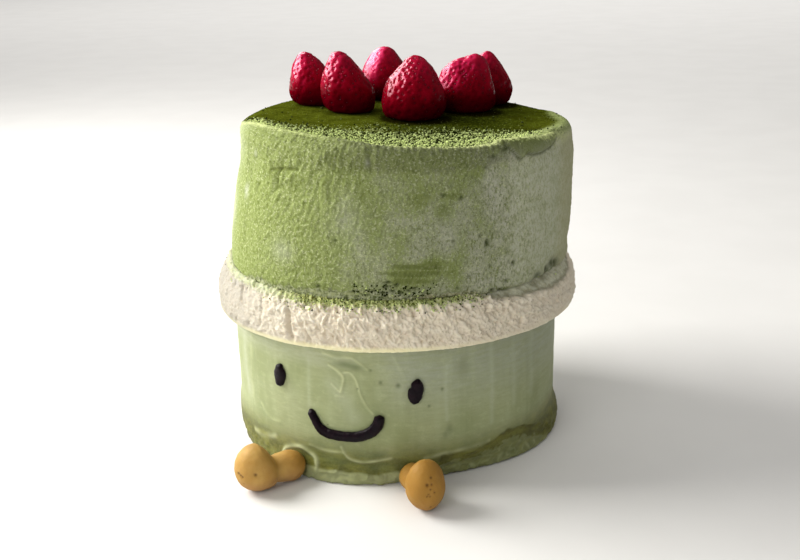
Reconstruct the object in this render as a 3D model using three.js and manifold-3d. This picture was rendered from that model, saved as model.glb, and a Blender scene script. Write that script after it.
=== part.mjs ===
// A small two-tier matcha cake with a smiling face, a rough cream layer between the tiers,
// six hulled strawberries on its dusted top and two round-footed marzipan legs.
//
// Millimetres, +Z up. The origin is the centre of the flat base, on the surface that the cake
// stands on. The face looks along -Y. Angles round the cake are in degrees: 0 is the front (-Y),
// and they grow towards +X.

import * as THREE from "three";
import { mergeVertices } from "three/addons/utils/BufferGeometryUtils.js";
import Module from "manifold-3d";

const wasm = await Module();
wasm.setup();

// ---- Driving dimensions -------------------------------------------------------------------

const WALL_R = 78.5; // both tiers: a 6 inch sponge with about 2.5 mm of frosting on its side
const CREAM_R = 86; // the cream layer stands proud of both tiers
const LOWER_H = 66; // top of the lower tier
const CREAM_H = 20.5; // thickness of the cream layer
const UPPER_H = 64; // height of the upper tier at the middle of its top
const GAP = 0.3; // between pieces that touch

const CREAM_Z = LOWER_H + GAP;
const UPPER_Z = CREAM_Z + CREAM_H + GAP;
const TOP_Z = UPPER_Z + UPPER_H;

// The upper tier was set down a little askew: off the middle, leaning, and with a sloping top.
const LEAN_TOWARDS = 108; // degrees round the cake
const CREAM_OFFSET = 0.8; // how far the cream layer sits off the lower tier's axis
const UPPER_OFFSET = 1.2; // how far the upper tier's base sits off that axis
const LEAN = 0.108; // sideways shift for each unit of height
const TOP_FALL = 0.033; // fall of the top for each unit towards LEAN_TOWARDS

// Each leg is a stub from the wall, and a round foot at its end.
const LEFT_LEG = { width: 19.7, height: 22, stub: 7.2 };
const RIGHT_LEG = { width: 17.2, height: 23.7, stub: 6.3 };

// Levels of the lower tier's wall, closer together where it bulges and tucks in at its foot.
const LOWER_LEVELS = [0, 3.5, 7, 11, 16, 23, 32, 43, 54, LOWER_H];

// ---- Small helpers ------------------------------------------------------------------------

const { sin, cos, PI, abs, max, min, sqrt, hypot, atan2, floor } = Math;
const rad = (degrees) => (degrees * PI) / 180;
const mix = (a, b, t) => a + (b - a) * t;
const smooth = (t) => {
  const s = min(1, max(0, t));
  return s * s * (3 - 2 * s);
};
const bump = (offset, halfWidth) => smooth(1 - abs(offset) / halfWidth);

// Shortest way round from one angle to another, in degrees.
const turn = (from, to) => ((((to - from) % 360) + 540) % 360) - 180;

// Angle round the cake of a point, in degrees, and the point at an angle and radius.
const angleOf = (x, y) => (atan2(x, -y) * 180) / PI;
const at = (degrees, r) => [r * sin(rad(degrees)), -r * cos(rad(degrees))];

// A repeatable number from 0 to 1 for a lattice corner.
function lattice(i, j, seed) {
  const s = sin(i * 127.1 + j * 311.7 + seed * 74.7) * 43758.5453;
  return s - floor(s);
}

// Smooth noise from -1 to 1 round a closed ring, with `cells` lattice cells in the full turn.
function ringNoise(degrees, height, cells, cellHeight, seed) {
  const u = (((degrees % 360) + 360) % 360) * (cells / 360);
  const v = height / cellHeight;
  const [i, j] = [floor(u), floor(v)];
  const [s, t] = [smooth(u - i), smooth(v - j)];
  const corner = (a, b) => lattice((i + a) % cells, j + b, seed);
  const low = mix(corner(0, 0), corner(1, 0), s);
  const high = mix(corner(0, 1), corner(1, 1), s);
  return 2 * mix(low, high, t) - 1;
}

// A closed solid turned from a profile of [radius, height] points that starts and ends on the
// axis. `place` moves each point: it takes x, y, z and returns the new x, y, z.
function turned(profile, segments, place) {
  const lathe = new THREE.LatheGeometry(
    profile.map(([r, z]) => new THREE.Vector2(r, z)),
    segments,
  );
  lathe.rotateX(PI / 2);
  return moved(lathe, place);
}

// The geometry with its vertices merged and each one moved by `place`.
function moved(geometry, place) {
  geometry.deleteAttribute("normal");
  geometry.deleteAttribute("uv");
  const merged = mergeVertices(geometry, 1e-3);
  const points = merged.getAttribute("position");
  for (let i = 0; i < points.count; i++) {
    points.setXYZ(i, ...place(points.getX(i), points.getY(i), points.getZ(i)));
  }
  return merged;
}

function toSolid(geometry) {
  return new wasm.Manifold(
    new wasm.Mesh({
      numProp: 3,
      vertProperties: new Float32Array(geometry.getAttribute("position").array),
      triVerts: new Uint32Array(geometry.index.array),
    }),
  );
}

function toGeometry(solid) {
  const mesh = solid.getMesh();
  return new THREE.BufferGeometry()
    .setAttribute("position", new THREE.BufferAttribute(mesh.vertProperties, 3))
    .setIndex(new THREE.BufferAttribute(mesh.triVerts, 1));
}

const range = (count, first, last) =>
  Array.from({ length: count }, (_, i) => mix(first, last, i / (count - 1)));

// ---- Walls of the two tiers ---------------------------------------------------------------

// The spatula's broad swells on the side of a tier.
function swell(angle, z, seed) {
  const a = rad(angle);
  return (
    0.5 * sin(2 * a + 0.02 * z + seed) +
    0.35 * sin(5 * a - 0.05 * z + 2.1 * seed) +
    0.2 * sin(11 * a + 0.09 * z + 3.7 * seed)
  );
}

// Outer radius of the lower tier. Its base flares a little, but is tucked under to the right
// of the front, where the frosting lifted off. At both sides the frosting sags outwards low down.
function lowerRadius(angle, z) {
  const low = 1 - smooth(z / 11);
  const tuck = bump(turn(39, angle), 42);
  const left = bump(turn(-68, angle), 45) * (1.6 * bump(z - 13, 13) - 1.7 * (1 - smooth(z / 6)));
  const right = bump(turn(100, angle), 34) * 2.2 * bump(z - 6, 9);
  const flare = low * (1.1 - 6.8 * tuck);
  return WALL_R - 0.6 + flare + left + right + 0.7 * swell(angle, z, 1.3);
}

// Outer radius of the upper tier. It draws in towards its top, and at once above its base.
function upperRadius(angle, z) {
  const share = (z - UPPER_Z) / UPPER_H;
  const draw = 3.2 * smooth(share) + 1.3 * (1 - smooth(share / 0.2));
  const right = 1.1 * bump(turn(LEAN_TOWARDS, angle), 75) * (1 - smooth((share - 0.75) / 0.2));
  const left = 1.1 * bump(turn(LEAN_TOWARDS - 180, angle), 75) * smooth((share - 0.55) / 0.2);
  return WALL_R + 2.4 - draw + right - left + 0.6 * swell(angle, z, 4.1);
}

// How far the upper tier's axis stands off the lower tier's axis at a height. It stands upright
// again near its top.
function leanAt(z) {
  return at(LEAN_TOWARDS, UPPER_OFFSET + LEAN * min(z - UPPER_Z, 49));
}

// Height of the upper tier's top, without its rim.
function topHeight(x, y) {
  const [dx, dy] = at(LEAN_TOWARDS, 1);
  return TOP_Z - TOP_FALL * (x * dx + y * dy);
}

// The rim round the top, by angle: the share of the radius at which it crests, its height
// there, and its height at the very edge, both over the sloping top.
const RIM = [
  [-124, 0.955, 0.3, -1.2],
  [-100, 0.93, 0.2, -2.6],
  [-78, 0.9, 0.6, -2.8],
  [-55, 0.87, 2.0, -2.6],
  [-14, 0.865, 2.4, -2.4],
  [5, 0.95, 1.4, -0.8],
  [36, 0.965, 0.3, -1.0],
  [56, 0.93, 1.9, -1.2],
  [80, 0.92, 1.2, -2.4],
  [105, 0.92, -0.2, -3.0],
  [150, 0.93, -0.9, -4.2],
  [180, 0.94, -0.2, -2.8],
  [236, 0.955, 0.3, -1.2],
];

function rimAt(angle) {
  const a = RIM[0][0] + ((((angle - RIM[0][0]) % 360) + 360) % 360);
  const i = RIM.findIndex((row, k) => k > 0 && row[0] >= a);
  const [from, to] = [RIM[i - 1], RIM[i]];
  const t = smooth((a - from[0]) / (to[0] - from[0]));
  return [1, 2, 3].map((k) => mix(from[k], to[k], t));
}

// Height of the rim over the sloping top, at a share of the upper tier's radius.
function rimRise(angle, share) {
  const [crest, height, edge] = rimAt(angle);
  if (share <= crest) return height * smooth(1 - (crest - share) / 0.1);
  return mix(height, edge, ((share - crest) / (1 - crest)) ** 1.6);
}

// ---- Tiers and cream layer ----------------------------------------------------------------

function lowerTier() {
  const profile = [
    [0, 0],
    [0.62, 0],
    ...LOWER_LEVELS.map((z) => [1, z]),
    [0.55, LOWER_H],
    [0, LOWER_H],
  ];
  return turned(profile, 84, (x, y, z) => {
    const [angle, share] = [angleOf(x, y), hypot(x, y)];
    return [...at(angle, share * lowerRadius(angle, z)), z];
  });
}

// The cream layer runs through the cake. Its edge is rough, as cream left from the palette
// knife is. Its sharp lower rim hangs over the lower tier, lowest at the sides of the cake, and
// its upper edge slopes off towards the upper tier.
function creamLayer() {
  const rows = [
    // share of the thickness, and how far inside CREAM_R
    [0, 0.7],
    [0.08, 0.1],
    [0.32, 0],
    [0.56, 0.2],
    [0.76, 1.3],
    [0.9, 3.2],
    [1, 6.2],
  ];
  const profile = [
    [0, 0],
    [0.6, 0],
    [0.935, 0],
    ...rows.map(([share, inset]) => [1 - inset / CREAM_R, share * CREAM_H]),
    [0.6, CREAM_H],
    [0, CREAM_H],
  ];
  const [sx, sy] = at(LEAN_TOWARDS, CREAM_OFFSET);
  return turned(profile, 112, (x, y, z) => {
    const [angle, share] = [angleOf(x, y), hypot(x, y)];
    const edge = smooth((share - 0.85) / 0.1);
    const clear = smooth(z / 3) * smooth((CREAM_H - z) / 2);
    const rough =
      1.0 * ringNoise(angle, z, 60, 6, 11) + 0.6 * ringNoise(angle, z, 110, 4, 12);
    const [px, py] = at(angle, share * CREAM_R + edge * (0.2 + 0.8 * clear) * rough);
    const outer = smooth((share - 0.94) / 0.03);
    const right = bump(turn(LEAN_TOWARDS, angle), 75);
    const left = bump(turn(LEAN_TOWARDS - 180, angle), 70);
    const hang = outer * (1 - z / CREAM_H) * (0.4 + 3.6 * right + 2.8 * left);
    const slump = outer * smooth(z / CREAM_H) * 1.8 * (right + left);
    return [px + sx, py + sy, CREAM_Z + z - hang - slump];
  });
}

function upperTier() {
  // [share of the radius, share of the wall's height]
  const wall = range(9, 0, 1).map((share) => [1, share]);
  const top = [0.994, 0.975, 0.95, 0.92, 0.885, 0.85, 0.8, 0.72, 0.4, 0];
  const profile = [[0, 0], [0.6, 0], ...wall, ...top.map((share) => [share, 2])];
  return turned(profile, 88, (x, y, level) => {
    const [angle, share] = [angleOf(x, y), hypot(x, y)];
    const under = (z) => {
      const [sx, sy] = leanAt(z);
      const [px, py] = at(angle, share * upperRadius(angle, z));
      return [px + sx, py + sy];
    };
    const [ex, ey] = under(TOP_Z);
    const crumb = 0.35 * ringNoise(angle, 0, 30, 1, 5) * smooth((share - 0.8) / 0.1);
    const surface = topHeight(ex, ey) + rimRise(angle, share) + crumb;
    if (level > 1) return [ex, ey, surface];
    const z = mix(UPPER_Z, surface - 1.4, level);
    return [...under(z), z];
  });
}

// ---- Face ---------------------------------------------------------------------------------

// A bead of chocolate on the lower tier's wall. Each station is [angle, z, width], and the
// stations run along the bead's middle. Its back follows the wall, and its front is domed.
function wallBead(stations, height, across = 8) {
  const rows = stations.map(([angle, z, width], i) => {
    const [a0, z0] = stations[max(0, i - 1)];
    const [a1, z1] = stations[min(stations.length - 1, i + 1)];
    const [ds, dz] = [rad(a1 - a0) * WALL_R, z1 - z0];
    const length = hypot(ds, dz);
    return { angle, z, width, side: [-dz / length, ds / length] };
  });
  const positions = [];
  const point = (row, v, lift) => {
    const s = (row.side[0] * v * row.width) / 2;
    const z = row.z + (row.side[1] * v * row.width) / 2;
    const angle = row.angle + (s / WALL_R) * (180 / PI);
    positions.push(...at(angle, lowerRadius(angle, z) + lift), z);
  };
  // Each row is a closed ring: out over the dome and back along the wall.
  const ring = 2 * across;
  for (const row of rows) {
    const dome = height * min(1, row.width / 3);
    for (let k = 0; k < across; k++) {
      const v = -1 + (2 * k) / across;
      point(row, v, 2 * GAP + dome * sqrt(max(0, 1 - v * v)));
    }
    for (let k = 0; k < across; k++) {
      point(row, 1 - (2 * k) / across, k ? GAP : 2 * GAP);
    }
  }
  const index = [];
  for (let i = 0; i + 1 < rows.length; i++) {
    for (let k = 0; k < ring; k++) {
      const [a, b] = [i * ring + k, i * ring + ((k + 1) % ring)];
      index.push(a, a + ring, b, b, a + ring, b + ring);
    }
  }
  for (const [first, flip] of [
    [0, false],
    [(rows.length - 1) * ring, true],
  ]) {
    for (let k = 1; k + 1 < ring; k++) {
      const pair = flip ? [first + k + 1, first + k] : [first + k, first + k + 1];
      index.push(first, ...pair);
    }
  }
  return new THREE.BufferGeometry()
    .setAttribute("position", new THREE.Float32BufferAttribute(positions, 3))
    .setIndex(index);
}

// Width of a bead along its length, as a share. A larger `round` gives blunter ends.
const ended = (t, round) => sqrt(max(0.015, 1 - ((2 * t - 1) ** 2) ** round));

// An eye is a short upright bead with its middle at `angle` and z. `slant` carries its top
// round the cake, in degrees, and a `point` below 1 draws its top out to a point.
function eye({ angle, z, height, width, slant, point }) {
  return wallBead(
    range(11, 0, 1).map((t) => [
      angle + slant * (0.5 - t),
      z + height * (0.5 - t),
      width * ended(t ** point, 1),
    ]),
    1.5,
  );
}

// The mouth is one drawn stroke: down, along and up again, thinner where it starts.
function mouth() {
  const path = new THREE.SplineCurve(
    // angle round the cake, height
    [
      [-11.5, 34],
      [-10.2, 30.4],
      [-8.5, 26.8],
      [-6.2, 24.5],
      [-2.8, 23.9],
      [1.5, 24],
      [5.3, 24.5],
      [8.7, 26.4],
      [11, 29.4],
      [11.8, 32.2],
      [12, 34.6],
    ].map(([angle, z]) => new THREE.Vector2(angle, z)),
  );
  const stations = range(27, 0, 1).map((t) => {
    const { x, y } = path.getPoint(t);
    return [x, y, mix(3.4, 4.7, smooth(t * 2.5)) * ended(t, 8)];
  });
  return wallBead(stations, 1.6);
}

// ---- Legs ---------------------------------------------------------------------------------

// A leg is one piece of marzipan, pressed against the wall: a round stub whose rounded end is
// at `root`, and a round foot a little taller than wide, whose middle is at `foot`. Both are
// given as an angle round the cake and a distance from its axis.
function leg(root, foot, { width, height, stub }, wall) {
  const footR = width / 2;
  const [rx, ry] = at(...root);
  const [fx, fy] = at(...foot);
  const reach = hypot(fx - rx, fy - ry);
  const [ux, uy] = [(fx - rx) / reach, (fy - ry) / reach];
  const end = range(5, -80, 0).map((a) => [stub * cos(rad(a)), stub * sin(rad(a))]);
  const ball = range(10, -52, 84).map((a) => [
    footR * cos(rad(a)),
    reach + footR * sin(rad(a)),
  ]);
  const profile = [[0, -stub], ...end, ...ball, [0, reach + footR]];
  const solid = toSolid(
    turned(profile, 24, (x, y, s) => {
      // The lathe's height becomes the way out along the leg, and the foot grows taller.
      const inFoot = smooth((s - (reach - footR)) / footR);
      const tall = mix(1, height / width, inFoot);
      const middle = mix(stub, height / 2, inFoot) + 0.1;
      return [rx + s * ux - x * uy, ry + s * uy + x * ux, middle + y * tall];
    }),
  );
  return toGeometry(solid.subtract(wall));
}

// The lower tier grown by the gap, which cuts the roots of the legs.
function grownWall() {
  return toSolid(
    turned(
      [
        [0, -5],
        [1, -5],
        ...LOWER_LEVELS.map((z) => [1, z]),
        [0, LOWER_H],
      ],
      84,
      (x, y, z) => {
        const [angle, share] = [angleOf(x, y), hypot(x, y)];
        return [...at(angle, share * (lowerRadius(angle, max(0, z)) + GAP)), z];
      },
    ),
  );
}

// ---- Strawberries -------------------------------------------------------------------------

// Each strawberry stands on its hulled end: where it stands (angle round the cake and distance
// from the axis), its width, height and depth as a share of its width, and how far its tip
// leans towards an angle. A blunt one is broad at the top, `cleft` sinks the middle of its top,
// and `tilt` makes one end of its top higher.
const STRAWBERRIES = [
  { name: "front", angle: 100, from: 11.2, width: 30.2, height: 29, tip: 1.5, towards: 90 },
  { name: "front_left", angle: -112, from: 24.7, width: 25.6, height: 29, tip: 5.2, towards: 292 },
  { name: "left", angle: -116.4, from: 52, width: 24.4, height: 25.8, tip: 4.2, towards: 285 },
  { name: "back", angle: -160, from: 56, width: 28.4, height: 26.3, tip: 0.5, towards: 288 },
  {
    name: "front_right",
    angle: 134.6,
    from: 40.2,
    width: 31,
    depth: 0.72,
    height: 27.2,
    tip: 1,
    towards: 108,
    blunt: 0.5,
    cleft: 1.6,
    tilt: 3.4,
  },
  {
    name: "right",
    angle: 146.5,
    from: 62.6,
    width: 24.6,
    depth: 0.88,
    height: 26,
    tip: 0.4,
    towards: 288,
  },
];

// Profile of a strawberry of unit width and height: a flat cut end, a full shoulder and a
// rounded tip.
function strawberryProfile() {
  const outline = new THREE.SplineCurve(
    [
      [0.36, 0],
      [0.43, 0.03],
      [0.475, 0.09],
      [0.5, 0.2],
      [0.493, 0.33],
      [0.46, 0.46],
      [0.395, 0.6],
      [0.3, 0.75],
      [0.21, 0.87],
      [0.12, 0.96],
    ].map(([r, z]) => new THREE.Vector2(r, z)),
  );
  const side = outline.getPoints(10).map((p) => [p.x, p.y]);
  return [[0, 0], ...side, [0, 1]];
}

function strawberry(
  { angle, from, width, height, tip, towards, depth = 1, blunt = 0, cleft = 0, tilt = 0 },
  seed,
) {
  const [cx, cy] = at(angle, from);
  const [tx, ty] = at(towards, tip);
  // The wide way of a flattened strawberry lies along LEAN_TOWARDS.
  const [wx, wy] = at(LEAN_TOWARDS, 1);
  return turned(strawberryProfile(), 20, (x, y, share) => {
    const round = 1 + 0.025 * sin(2 * atan2(y, x) + seed) + 0.02 * sin(3 * atan2(y, x) - seed);
    const broad = 1 + blunt * smooth((share - 0.55) / 0.35);
    const wide = x * width * round * broad;
    const deep = y * width * round * depth;
    const lean = max(0, share) ** 1.5;
    const px = cx + wide * wx - deep * wy + tx * lean;
    const py = cy + wide * wy + deep * wx + ty * lean;
    const atTop = smooth((share - 0.6) / 0.4);
    const rise = (tilt * wide * atTop) / (width / 2) - cleft * bump(wide + 2, 4) * atTop ** 2;
    return [px, py, topHeight(px, py) + GAP + share * height + rise];
  });
}

// ---- Assembly -----------------------------------------------------------------------------

const matte = (name, colour, roughness) =>
  Object.assign(new THREE.MeshStandardMaterial({ color: colour, roughness, metalness: 0 }), {
    name,
  });

const frosting = matte("pale_frosting", 0xa5b183, 0.6);
const dusted = matte("dusted_frosting", 0x8f9f55, 0.95);
const cream = matte("cream", 0xe0d8c4, 0.8);
const berry = matte("strawberry", 0x9c0f26, 0.3);
const chocolate = matte("chocolate", 0x1c1018, 0.4);
const marzipan = matte("marzipan", 0xc79c46, 0.7);

const cake = new THREE.Group();
cake.name = "matcha_cake";

function add(name, geometry, material) {
  const mesh = new THREE.Mesh(geometry, material);
  mesh.name = name;
  mesh.geometry.computeVertexNormals();
  cake.add(mesh);
}

add("lower_tier", lowerTier(), frosting);
add("cream_layer", creamLayer(), cream);
add("upper_tier", upperTier(), dusted);
const leftEye = { angle: -24, z: 46.8, height: 10.8, width: 6.4, slant: 1, point: 0.75 };
const rightEye = { angle: 23.8, z: 45.4, height: 10.8, width: 6.8, slant: 1.5, point: 1 };
add("eye_left", eye(leftEye), chocolate);
add("eye_right", eye(rightEye), chocolate);
add("mouth", mouth(), chocolate);

const wall = grownWall();
add("leg_left", leg([-17.6, 85.2], [-21.3, 100.2], LEFT_LEG, wall), marzipan);
add("leg_right", leg([22, 82.2], [24.1, 99.8], RIGHT_LEG, wall), marzipan);

STRAWBERRIES.forEach((one, i) =>
  add(`strawberry_${one.name}`, strawberry(one, i + 1), berry),
);

export default cake;
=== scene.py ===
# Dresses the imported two-tier matcha cake: grainy powdered frosting over smooth frosting, a torn
# cream layer between them, a piped smile, marzipan legs, and strawberries with pits and seeds.
#
# Sizes are in millimetres, in the frame's axes: +Z up, the face looks along -Y. Angles round the
# cake are in degrees from the front, growing towards +X. Colours are linear red, green, blue.

import itertools
import math

import bpy
import numpy as np
from mathutils import Matrix, Vector
from mathutils.bvhtree import BVHTree


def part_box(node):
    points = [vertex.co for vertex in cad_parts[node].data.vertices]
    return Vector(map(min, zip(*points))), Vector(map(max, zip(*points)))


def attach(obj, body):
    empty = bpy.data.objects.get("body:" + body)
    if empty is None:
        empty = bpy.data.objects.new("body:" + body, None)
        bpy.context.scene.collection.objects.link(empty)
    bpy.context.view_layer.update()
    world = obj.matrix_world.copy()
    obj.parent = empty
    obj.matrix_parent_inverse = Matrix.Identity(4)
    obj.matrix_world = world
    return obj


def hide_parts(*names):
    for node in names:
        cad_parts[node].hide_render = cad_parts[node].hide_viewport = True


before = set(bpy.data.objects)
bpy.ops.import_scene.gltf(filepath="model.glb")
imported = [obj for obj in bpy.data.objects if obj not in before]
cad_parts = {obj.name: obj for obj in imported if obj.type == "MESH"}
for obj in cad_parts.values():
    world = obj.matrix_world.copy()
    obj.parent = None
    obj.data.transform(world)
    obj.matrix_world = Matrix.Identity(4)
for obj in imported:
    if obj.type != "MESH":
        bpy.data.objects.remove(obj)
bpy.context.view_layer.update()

MM = 0.001  # metres in a millimetre
BODY = "root"
VIEW_ANGLE = 18  # degrees round the cake, where the camera stands

# ---- Numbers ------------------------------------------------------------------------------


def smooth(t):
    """0 below 0, 1 above 1, and an even curve between."""
    t = np.clip(t, 0, 1)
    return t * t * (3 - 2 * t)


def rise(value, start, reach):
    """0 up to start, then an even curve up to 1 at start + reach."""
    return smooth((value - start) / reach)


def fall(value, end, reach):
    """1 up to end - reach, then an even curve down to 0 at end."""
    return smooth((end - value) / reach)


def between(value, low, high, edge):
    """1 where low < value < high, falling to 0 over `edge` outside it."""
    return smooth((value - low) / edge + 1) * smooth((high - value) / edge + 1)


def bell(value, centre, wide):
    """1 at the centre, falling away over `wide` to each side."""
    return np.exp(-(((value - centre) / wide) ** 2))


def mixed(first, second, share):
    return first + (second - first) * share


def turn(angle):
    """The same angle, from -180 to 180."""
    return (np.asarray(angle) + 180) % 360 - 180


def by_angle(angle, table):
    """A value that changes evenly round the cake, from {angle: value}."""
    return np.interp(angle, list(table), list(table.values()), period=360)


def curve(path, steps=8):
    """A smooth line through the points of path."""
    points = np.array(path, float)
    ends = np.vstack([2 * points[0] - points[1], points, 2 * points[-1] - points[-2]])
    line = []
    for a, b, c, d in zip(ends, ends[1:], ends[2:], ends[3:]):
        for t in np.arange(steps) / steps:
            line.append(
                b + (c - a) * t / 2 + (2 * a - 5 * b + 4 * c - d) * t**2 / 2
                + (3 * b - a - 3 * c + d) * t**3 / 2
            )
    return np.array([*line, points[-1]])


SLOPES = 1024
SEED_STEP = 17.3  # how far apart the noise of two seeds is read
HASH_X, HASH_Y, HASH_Z = 73856093, 19349663, 83492791
slopes = np.random.default_rng(20).normal(size=(SLOPES, 3))
slopes /= np.linalg.norm(slopes, axis=1)[:, None]


def noise(points, size, seed):
    """Smooth noise, about -1 to 1, with swellings `size` across. size may differ by axis."""
    spots = points / size + SEED_STEP * seed
    cell = np.floor(spots).astype(np.int64)
    part = spots - cell
    ease = part**3 * (part * (part * 6 - 15) + 10)
    total = np.zeros(len(points))
    for corner in itertools.product((0, 1), repeat=3):
        x, y, z = (cell + corner).T
        slope = slopes[(x * HASH_X ^ y * HASH_Y ^ z * HASH_Z) % SLOPES]
        weight = np.prod(np.where(corner, ease, 1 - ease), axis=1)
        total += weight * np.sum(slope * (part - corner), axis=1)
    return 1.7 * total


def lumps(points, size, seed):
    """Round lumps with sharp creases between them, from 0 in a crease to about 1."""
    return np.minimum(1, 1.8 * np.abs(noise(points, size, seed)))


def crests(points, size, seed):
    """Sharp crests with round hollows between them, from 0 in a hollow to about 1."""
    return np.maximum(0, 1 - 2.1 * np.abs(noise(points, size, seed)))


def stirred(points, size, far, seed):
    """The points pushed about by noise, so that what is made from them looks torn."""
    push = [noise(points, size, seed + part) for part in (0.1, 0.2, 0.3)]
    return points + far * np.stack(push, axis=1)


def twisted(points, degrees_per_mm):
    """The points turned about Z, more the higher they are, so that upright noise slants."""
    turned = np.radians(points[:, 2] * degrees_per_mm)
    sine, cosine = np.sin(turned), np.cos(turned)
    x, y, z = points.T
    return np.stack([x * cosine - y * sine, x * sine + y * cosine, z], axis=1)


# ---- Fine skins over the CAD solids -------------------------------------------------------


def middle(node):
    low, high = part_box(node)
    return (Vector(low) + Vector(high)) / (2 * MM)


def tree_of(mesh):
    points = [v.co * (1 / MM) for v in mesh.vertices]
    return BVHTree.FromPolygons(points, [p.vertices[:] for p in mesh.polygons])


def walk(corners):
    """Points along an outline of (radius, height, spacing) corners, as far apart as they say."""
    points = []
    for (r0, z0, spacing), (r1, z1, _) in itertools.pairwise(corners):
        steps = max(1, round(math.hypot(r1 - r0, z1 - z0) / spacing))
        for i in range(steps):
            points.append((mixed(r0, r1, i / steps), mixed(z0, z1, i / steps)))
    return [*points, corners[-1][:2]]


def ring_faces(first, count, next_first, next_count):
    """Faces between two rings of points, where one may have 2, 4, ... times as many."""
    faces = []
    growing = next_count > count
    few, many = sorted((count, next_count))
    sparse, dense = (first, next_first) if growing else (next_first, first)
    ratio = many // few
    half = ratio // 2
    for j in range(few):
        p, q = sparse + j, sparse + (j + 1) % few
        fine = [dense + (j * ratio + m) % many for m in range(ratio + 1)]
        if ratio == 1:
            faces.append((fine[0], fine[1], q, p))
            continue
        made = [(fine[m], fine[m + 1], p if m < half else q) for m in range(ratio)]
        if p != q:
            made.append((fine[half], q, p))
        faces += [face[::-1] for face in made] if growing else made
    return faces


def running_mean(values, columns, rows):
    """Evens values out over so many columns, which go round, and rows to each side."""
    total = sum(np.roll(values, k, axis=1) for k in range(-columns, columns + 1))
    total = total / (2 * columns + 1)
    padded = np.pad(total, ((rows, rows), (0, 0)), "edge")
    count = len(values)
    return sum(padded[k : k + count] for k in range(2 * rows + 1)) / (2 * rows + 1)


class Skin:
    """A fine mesh in a piece's place, with its points and normals at hand, in millimetres."""

    def __init__(self, name, points, faces, centre):
        self.name = name
        self.centre = centre
        self.mesh = bpy.data.meshes.new(name)
        self.mesh.from_pydata(np.asarray(points) * MM, [], faces)
        self.mesh.update()
        self.measure()

    def measure(self):
        count = len(self.mesh.vertices)
        flat = np.empty(count * 3)
        self.mesh.vertices.foreach_get("co", flat)
        self.points = flat.reshape(-1, 3) / MM
        flat = np.empty(count * 3, np.float32)
        self.mesh.vertex_normals.foreach_get("vector", flat)
        self.normals = flat.reshape(-1, 3).astype(float)
        x, y = self.points[:, 0] - self.centre[0], self.points[:, 1] - self.centre[1]
        self.radius = np.hypot(x, y)
        self.angle = np.degrees(np.arctan2(x, -y))
        self.height = self.points[:, 2]

    def move(self, shift):
        self.points = self.points + shift
        self.mesh.vertices.foreach_set("co", (self.points * MM).ravel())
        self.mesh.update()
        self.measure()

    def swell(self, relief):
        """Moves each point out along its normal, and keeps it above the floor."""
        self.move(self.normals * relief[:, None])
        self.move(np.outer(np.maximum(0, -self.height), (0, 0, 1)))

    def mark(self, name, values, most=1):
        """Keeps a number for each point, from 0 to most, for the material."""
        attribute = self.mesh.attributes.new(name, "FLOAT", "POINT")
        attribute.data.foreach_set("value", np.clip(values, 0, most).astype(np.float32))

    def line(self, path, radius):
        """Distance of each point from a curve drawn on a wall through (angle, height) points."""
        across, up = turn(self.angle) * math.radians(radius), self.height
        nearest = np.full(len(self.points), np.inf)
        drawn = curve(path) * (math.radians(radius), 1)
        for (x0, z0), (x1, z1) in itertools.pairwise(drawn):
            dx, dz = x1 - x0, z1 - z0
            t = ((across - x0) * dx + (up - z0) * dz) / (dx * dx + dz * dz)
            t = np.clip(t, 0, 1)
            gap = np.hypot(across - x0 - t * dx, up - z0 - t * dz)
            nearest = np.minimum(nearest, gap)
        return nearest

    def spot(self, angle, height, radius, wide, tall):
        """1 at a place on a wall, falling away over an oval `wide` by `tall`."""
        across = turn(self.angle - angle) * math.radians(radius)
        share = (across / wide) ** 2 + ((self.height - height) / tall) ** 2
        return np.exp(-share)

    def spots(self, table, radius):
        """The sum of the spots of a table: angle, height, half width, half height, strength."""
        return sum(far * self.spot(at, z, radius, wide, tall) for at, z, wide, tall, far in table)

    def strokes(self, table, radius, spread=1):
        """The sum of the lines of a table: strength, half width, points as angle and height."""
        return sum(
            strong * bell(self.line(path, radius), 0, spread * wide) for strong, wide, path in table
        )

    def piece(self, material, slot, *nodes):
        """Adds the finished piece, which stands for the nodes."""
        self.mesh.shade_smooth()
        placed(self.name, self.mesh, material, slot, *nodes)


def linked(name, data):
    made = bpy.data.objects.new(name, data)
    bpy.context.scene.collection.objects.link(made)
    return made


def placed(name, mesh, material, slot, *nodes):
    """Adds a piece that rides on the cake and stands for the nodes."""
    mesh.materials.append(material)
    piece = linked(name, mesh)
    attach(piece, BODY)
    if nodes:
        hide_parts(*nodes)


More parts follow.
